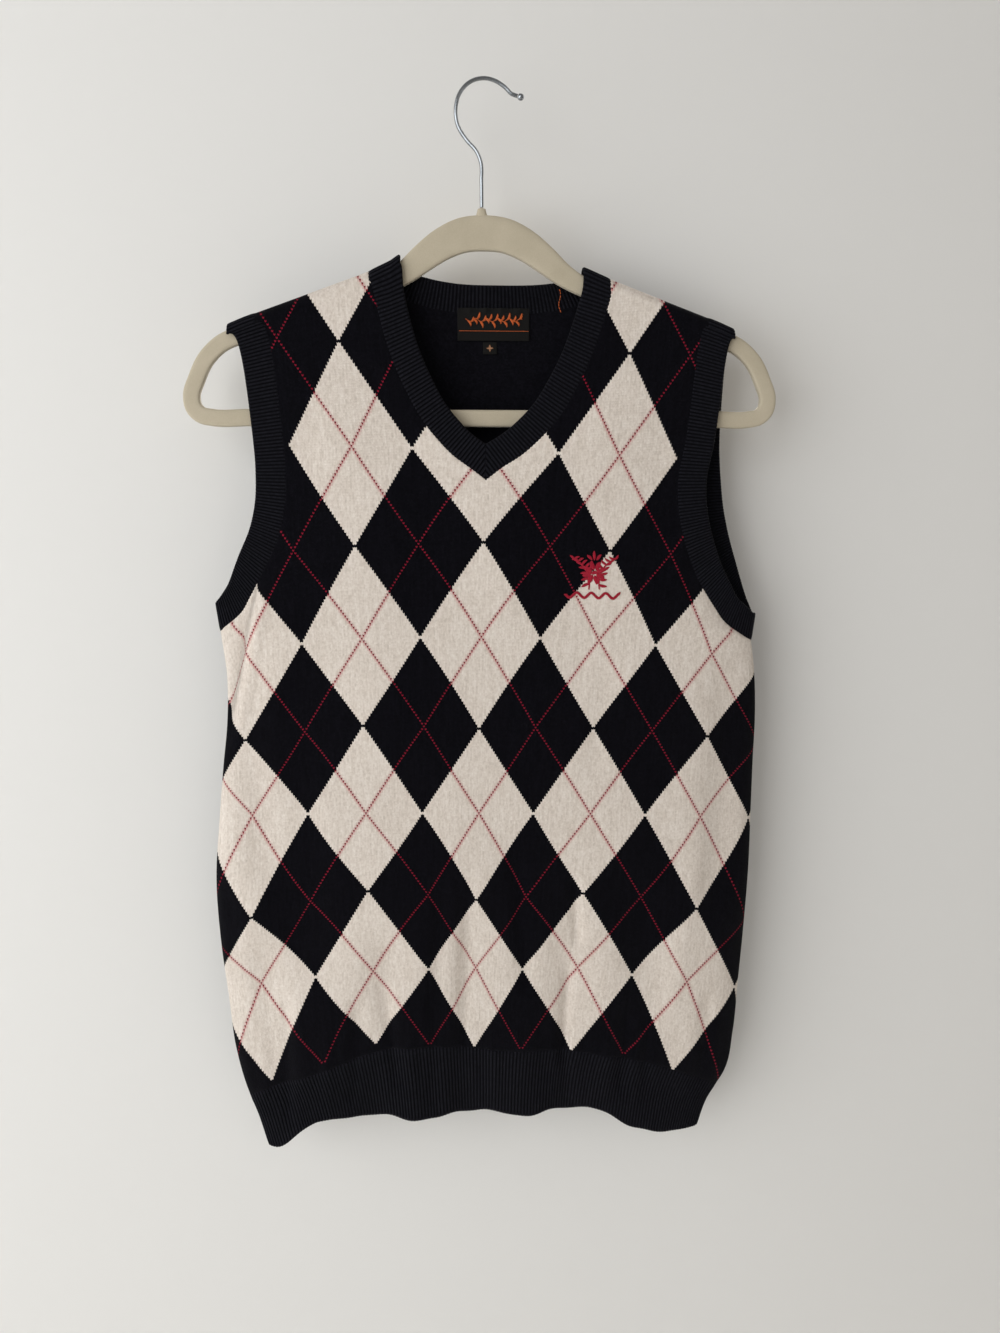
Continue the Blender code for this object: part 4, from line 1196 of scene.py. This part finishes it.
def labelThreads():
    # a waved stem with leaves on both sides, and a straight line of running stitches below it
    work = labelWork
    x = np.arange(work["stemFrom"], work["stemTo"], work["step"])
    wave = work["wave"] * np.sin(x / work["waveLength"] * 2 * math.pi)
    stem = stacked(x, work["stemHeight"] + wave)
    pairs = [satinLine(stem, work["stemHalf"])]
    for k, at in enumerate(stem[3:-4:5]):
        hand = 1 if k % 2 else -1
        end = at + np.array([2.3, hand * (3.9 - 0.8 * math.sin(k * 1.3))])
        pairs.append(satinLeaf(at, end, -0.8 * hand, work["leafHalf"], work["leafPitch"]))
    x = np.arange(work["lineFrom"], work["lineTo"], work["stitchStep"])
    pairs.append([stacked(x + length, work["lineHeight"]) for length in (0.0, work["stitch"])])
    return gathered(pairs)


def tabThreads():
    # a small cross: two satin bars, each from one arm's end to the other's
    middle, pairs = np.array(labelWork["tabMiddle"]), []
    for across, up, halfWidth in labelWork["tabArms"]:
        arm = np.array([across, up])
        pairs.append(satinLeaf(middle - arm, middle + arm, 0.0, halfWidth, 0.4))
    return gathered(pairs)


def seamThreads():
    # running stitches down the band, a little crooked
    k = np.linspace(0, 1, 9)
    x = seamWork["x"] + seamWork["sway"] * np.sin(k * seamWork["swayRate"]) + seamWork["slant"] * k
    line = stacked(x, seamWork["top"] - seamWork["length"] * k)
    return line[:-1], line[:-1] + np.diff(line, axis=0) * 0.92


def onLabel(x, z):
    # the face of the label: the cloth behind it less the gap, the wall and a little more
    return insideBack(x, z) - labels["clear"] - labels["wall"] - labels["threadRise"]


orangeThread = stitchThread("orangeThread", labelWork["colour"], labelWork["dark"])
threadPiece("labelStitching", *labelThreads(), onLabel, 0.2, 0.12, orangeThread, "woven_label")
threadPiece("bandThread", *seamThreads(), insideBack, 0.3, 0.3, orangeThread, "dark_rib")
paleThread = stitchThread("paleThread", labelWork["pale"], labelWork["dark"])
threadPiece("tabStitching", *tabThreads(), onLabel, 0.18, 0.1, paleThread, "woven_label")


# Wall, floor, light and camera

room = {
    "wallBehind": 50.0, "floorBelow": -1250.0, "far": 4000.0, "wall": (0.700, 0.690, 0.668),
    "floor": (0.62, 0.61, 0.59), "air": (1.0, 0.955, 0.91), "airStrength": 0.31,
    "lampsAimAt": (0, 0, -0.42),
}
lamps = {
    "window": {"at": (-1.35, -1.25, -0.15), "size": 1.9, "power": 34.0, "colour": (0.965, 0.985, 1.0)},
    "fill": {"at": (0.6, -2.6, 0.9), "size": 2.2, "power": 7.0, "colour": (1.0, 0.97, 0.93)},
    "back": {"at": (0.8, 2.4, 1.0), "size": 2.0, "power": 130.0, "colour": (1.0, 0.99, 0.97)},
}
camera = {"at": (-0.0376, -0.7692, -0.3016), "turn": (81.0, 0.09, -3.64), "lens": 27.0}


def backdrop(name, corners, colour):
    # a plain sheet of the room; it is clear from behind and casts no shade on the object
    made, tree, shader = newFinish(name, Roughness=0.95, Base_Color=(*colour, 1.0))
    clear = node(tree, "BsdfTransparent").outputs[0]
    behind = node(tree, "NewGeometry").outputs["Backfacing"]
    both = node(tree, "MixShader", {0: behind, 1: shader.outputs[0], 2: clear}).outputs[0]
    tree.links.new(both, tree.nodes["Material Output"].inputs["Surface"])
    sheet = writeMesh(name, np.array(corners, float), np.array([[0, 1, 2, 3]]), smoothShading=False)
    sheet.data.materials.append(made)
    sheet.visible_shadow = False


def setUp(name, data, place):
    # a lamp or camera in its place
    made = bpy.data.objects.new(name, data)
    made.location = place
    bpy.context.scene.collection.objects.link(made)
    return made


far, wallY, floorZ = room["far"], room["wallBehind"], room["floorBelow"]
backdrop("roomWall", [
    (-far, wallY, floorZ), (far, wallY, floorZ), (far, wallY, far), (-far, wallY, far)], room["wall"])
backdrop("roomFloor", [
    (-far, -far, floorZ), (far, -far, floorZ), (far, wallY, floorZ), (-far, wallY, floorZ)], room["floor"])

for name, lamp in lamps.items():
    data = bpy.data.lights.new(name, "AREA")
    data.size = lamp["size"]
    data.energy = lamp["power"]
    data.color = lamp["colour"]
    made = setUp(name, data, lamp["at"])
    aim = Vector(room["lampsAimAt"]) - made.location
    made.rotation_euler = aim.to_track_quat("-Z", "Y").to_euler()

world = bpy.data.worlds.new("softRoom")
world.use_nodes = True
air = world.node_tree.nodes["Background"]
air.inputs["Color"].default_value = (*room["air"], 1.0)
air.inputs["Strength"].default_value = room["airStrength"]
bpy.context.scene.world = world
bpy.context.scene.view_settings.view_transform = "Standard"

data = bpy.data.cameras.new("frontView")
data.lens = camera["lens"]
data.sensor_width = 36.0
data.clip_start = 0.05
view = setUp("frontView", data, camera["at"])
view.rotation_euler = [math.radians(angle) for angle in camera["turn"]]
bpy.context.scene.camera = view
print("room ready")
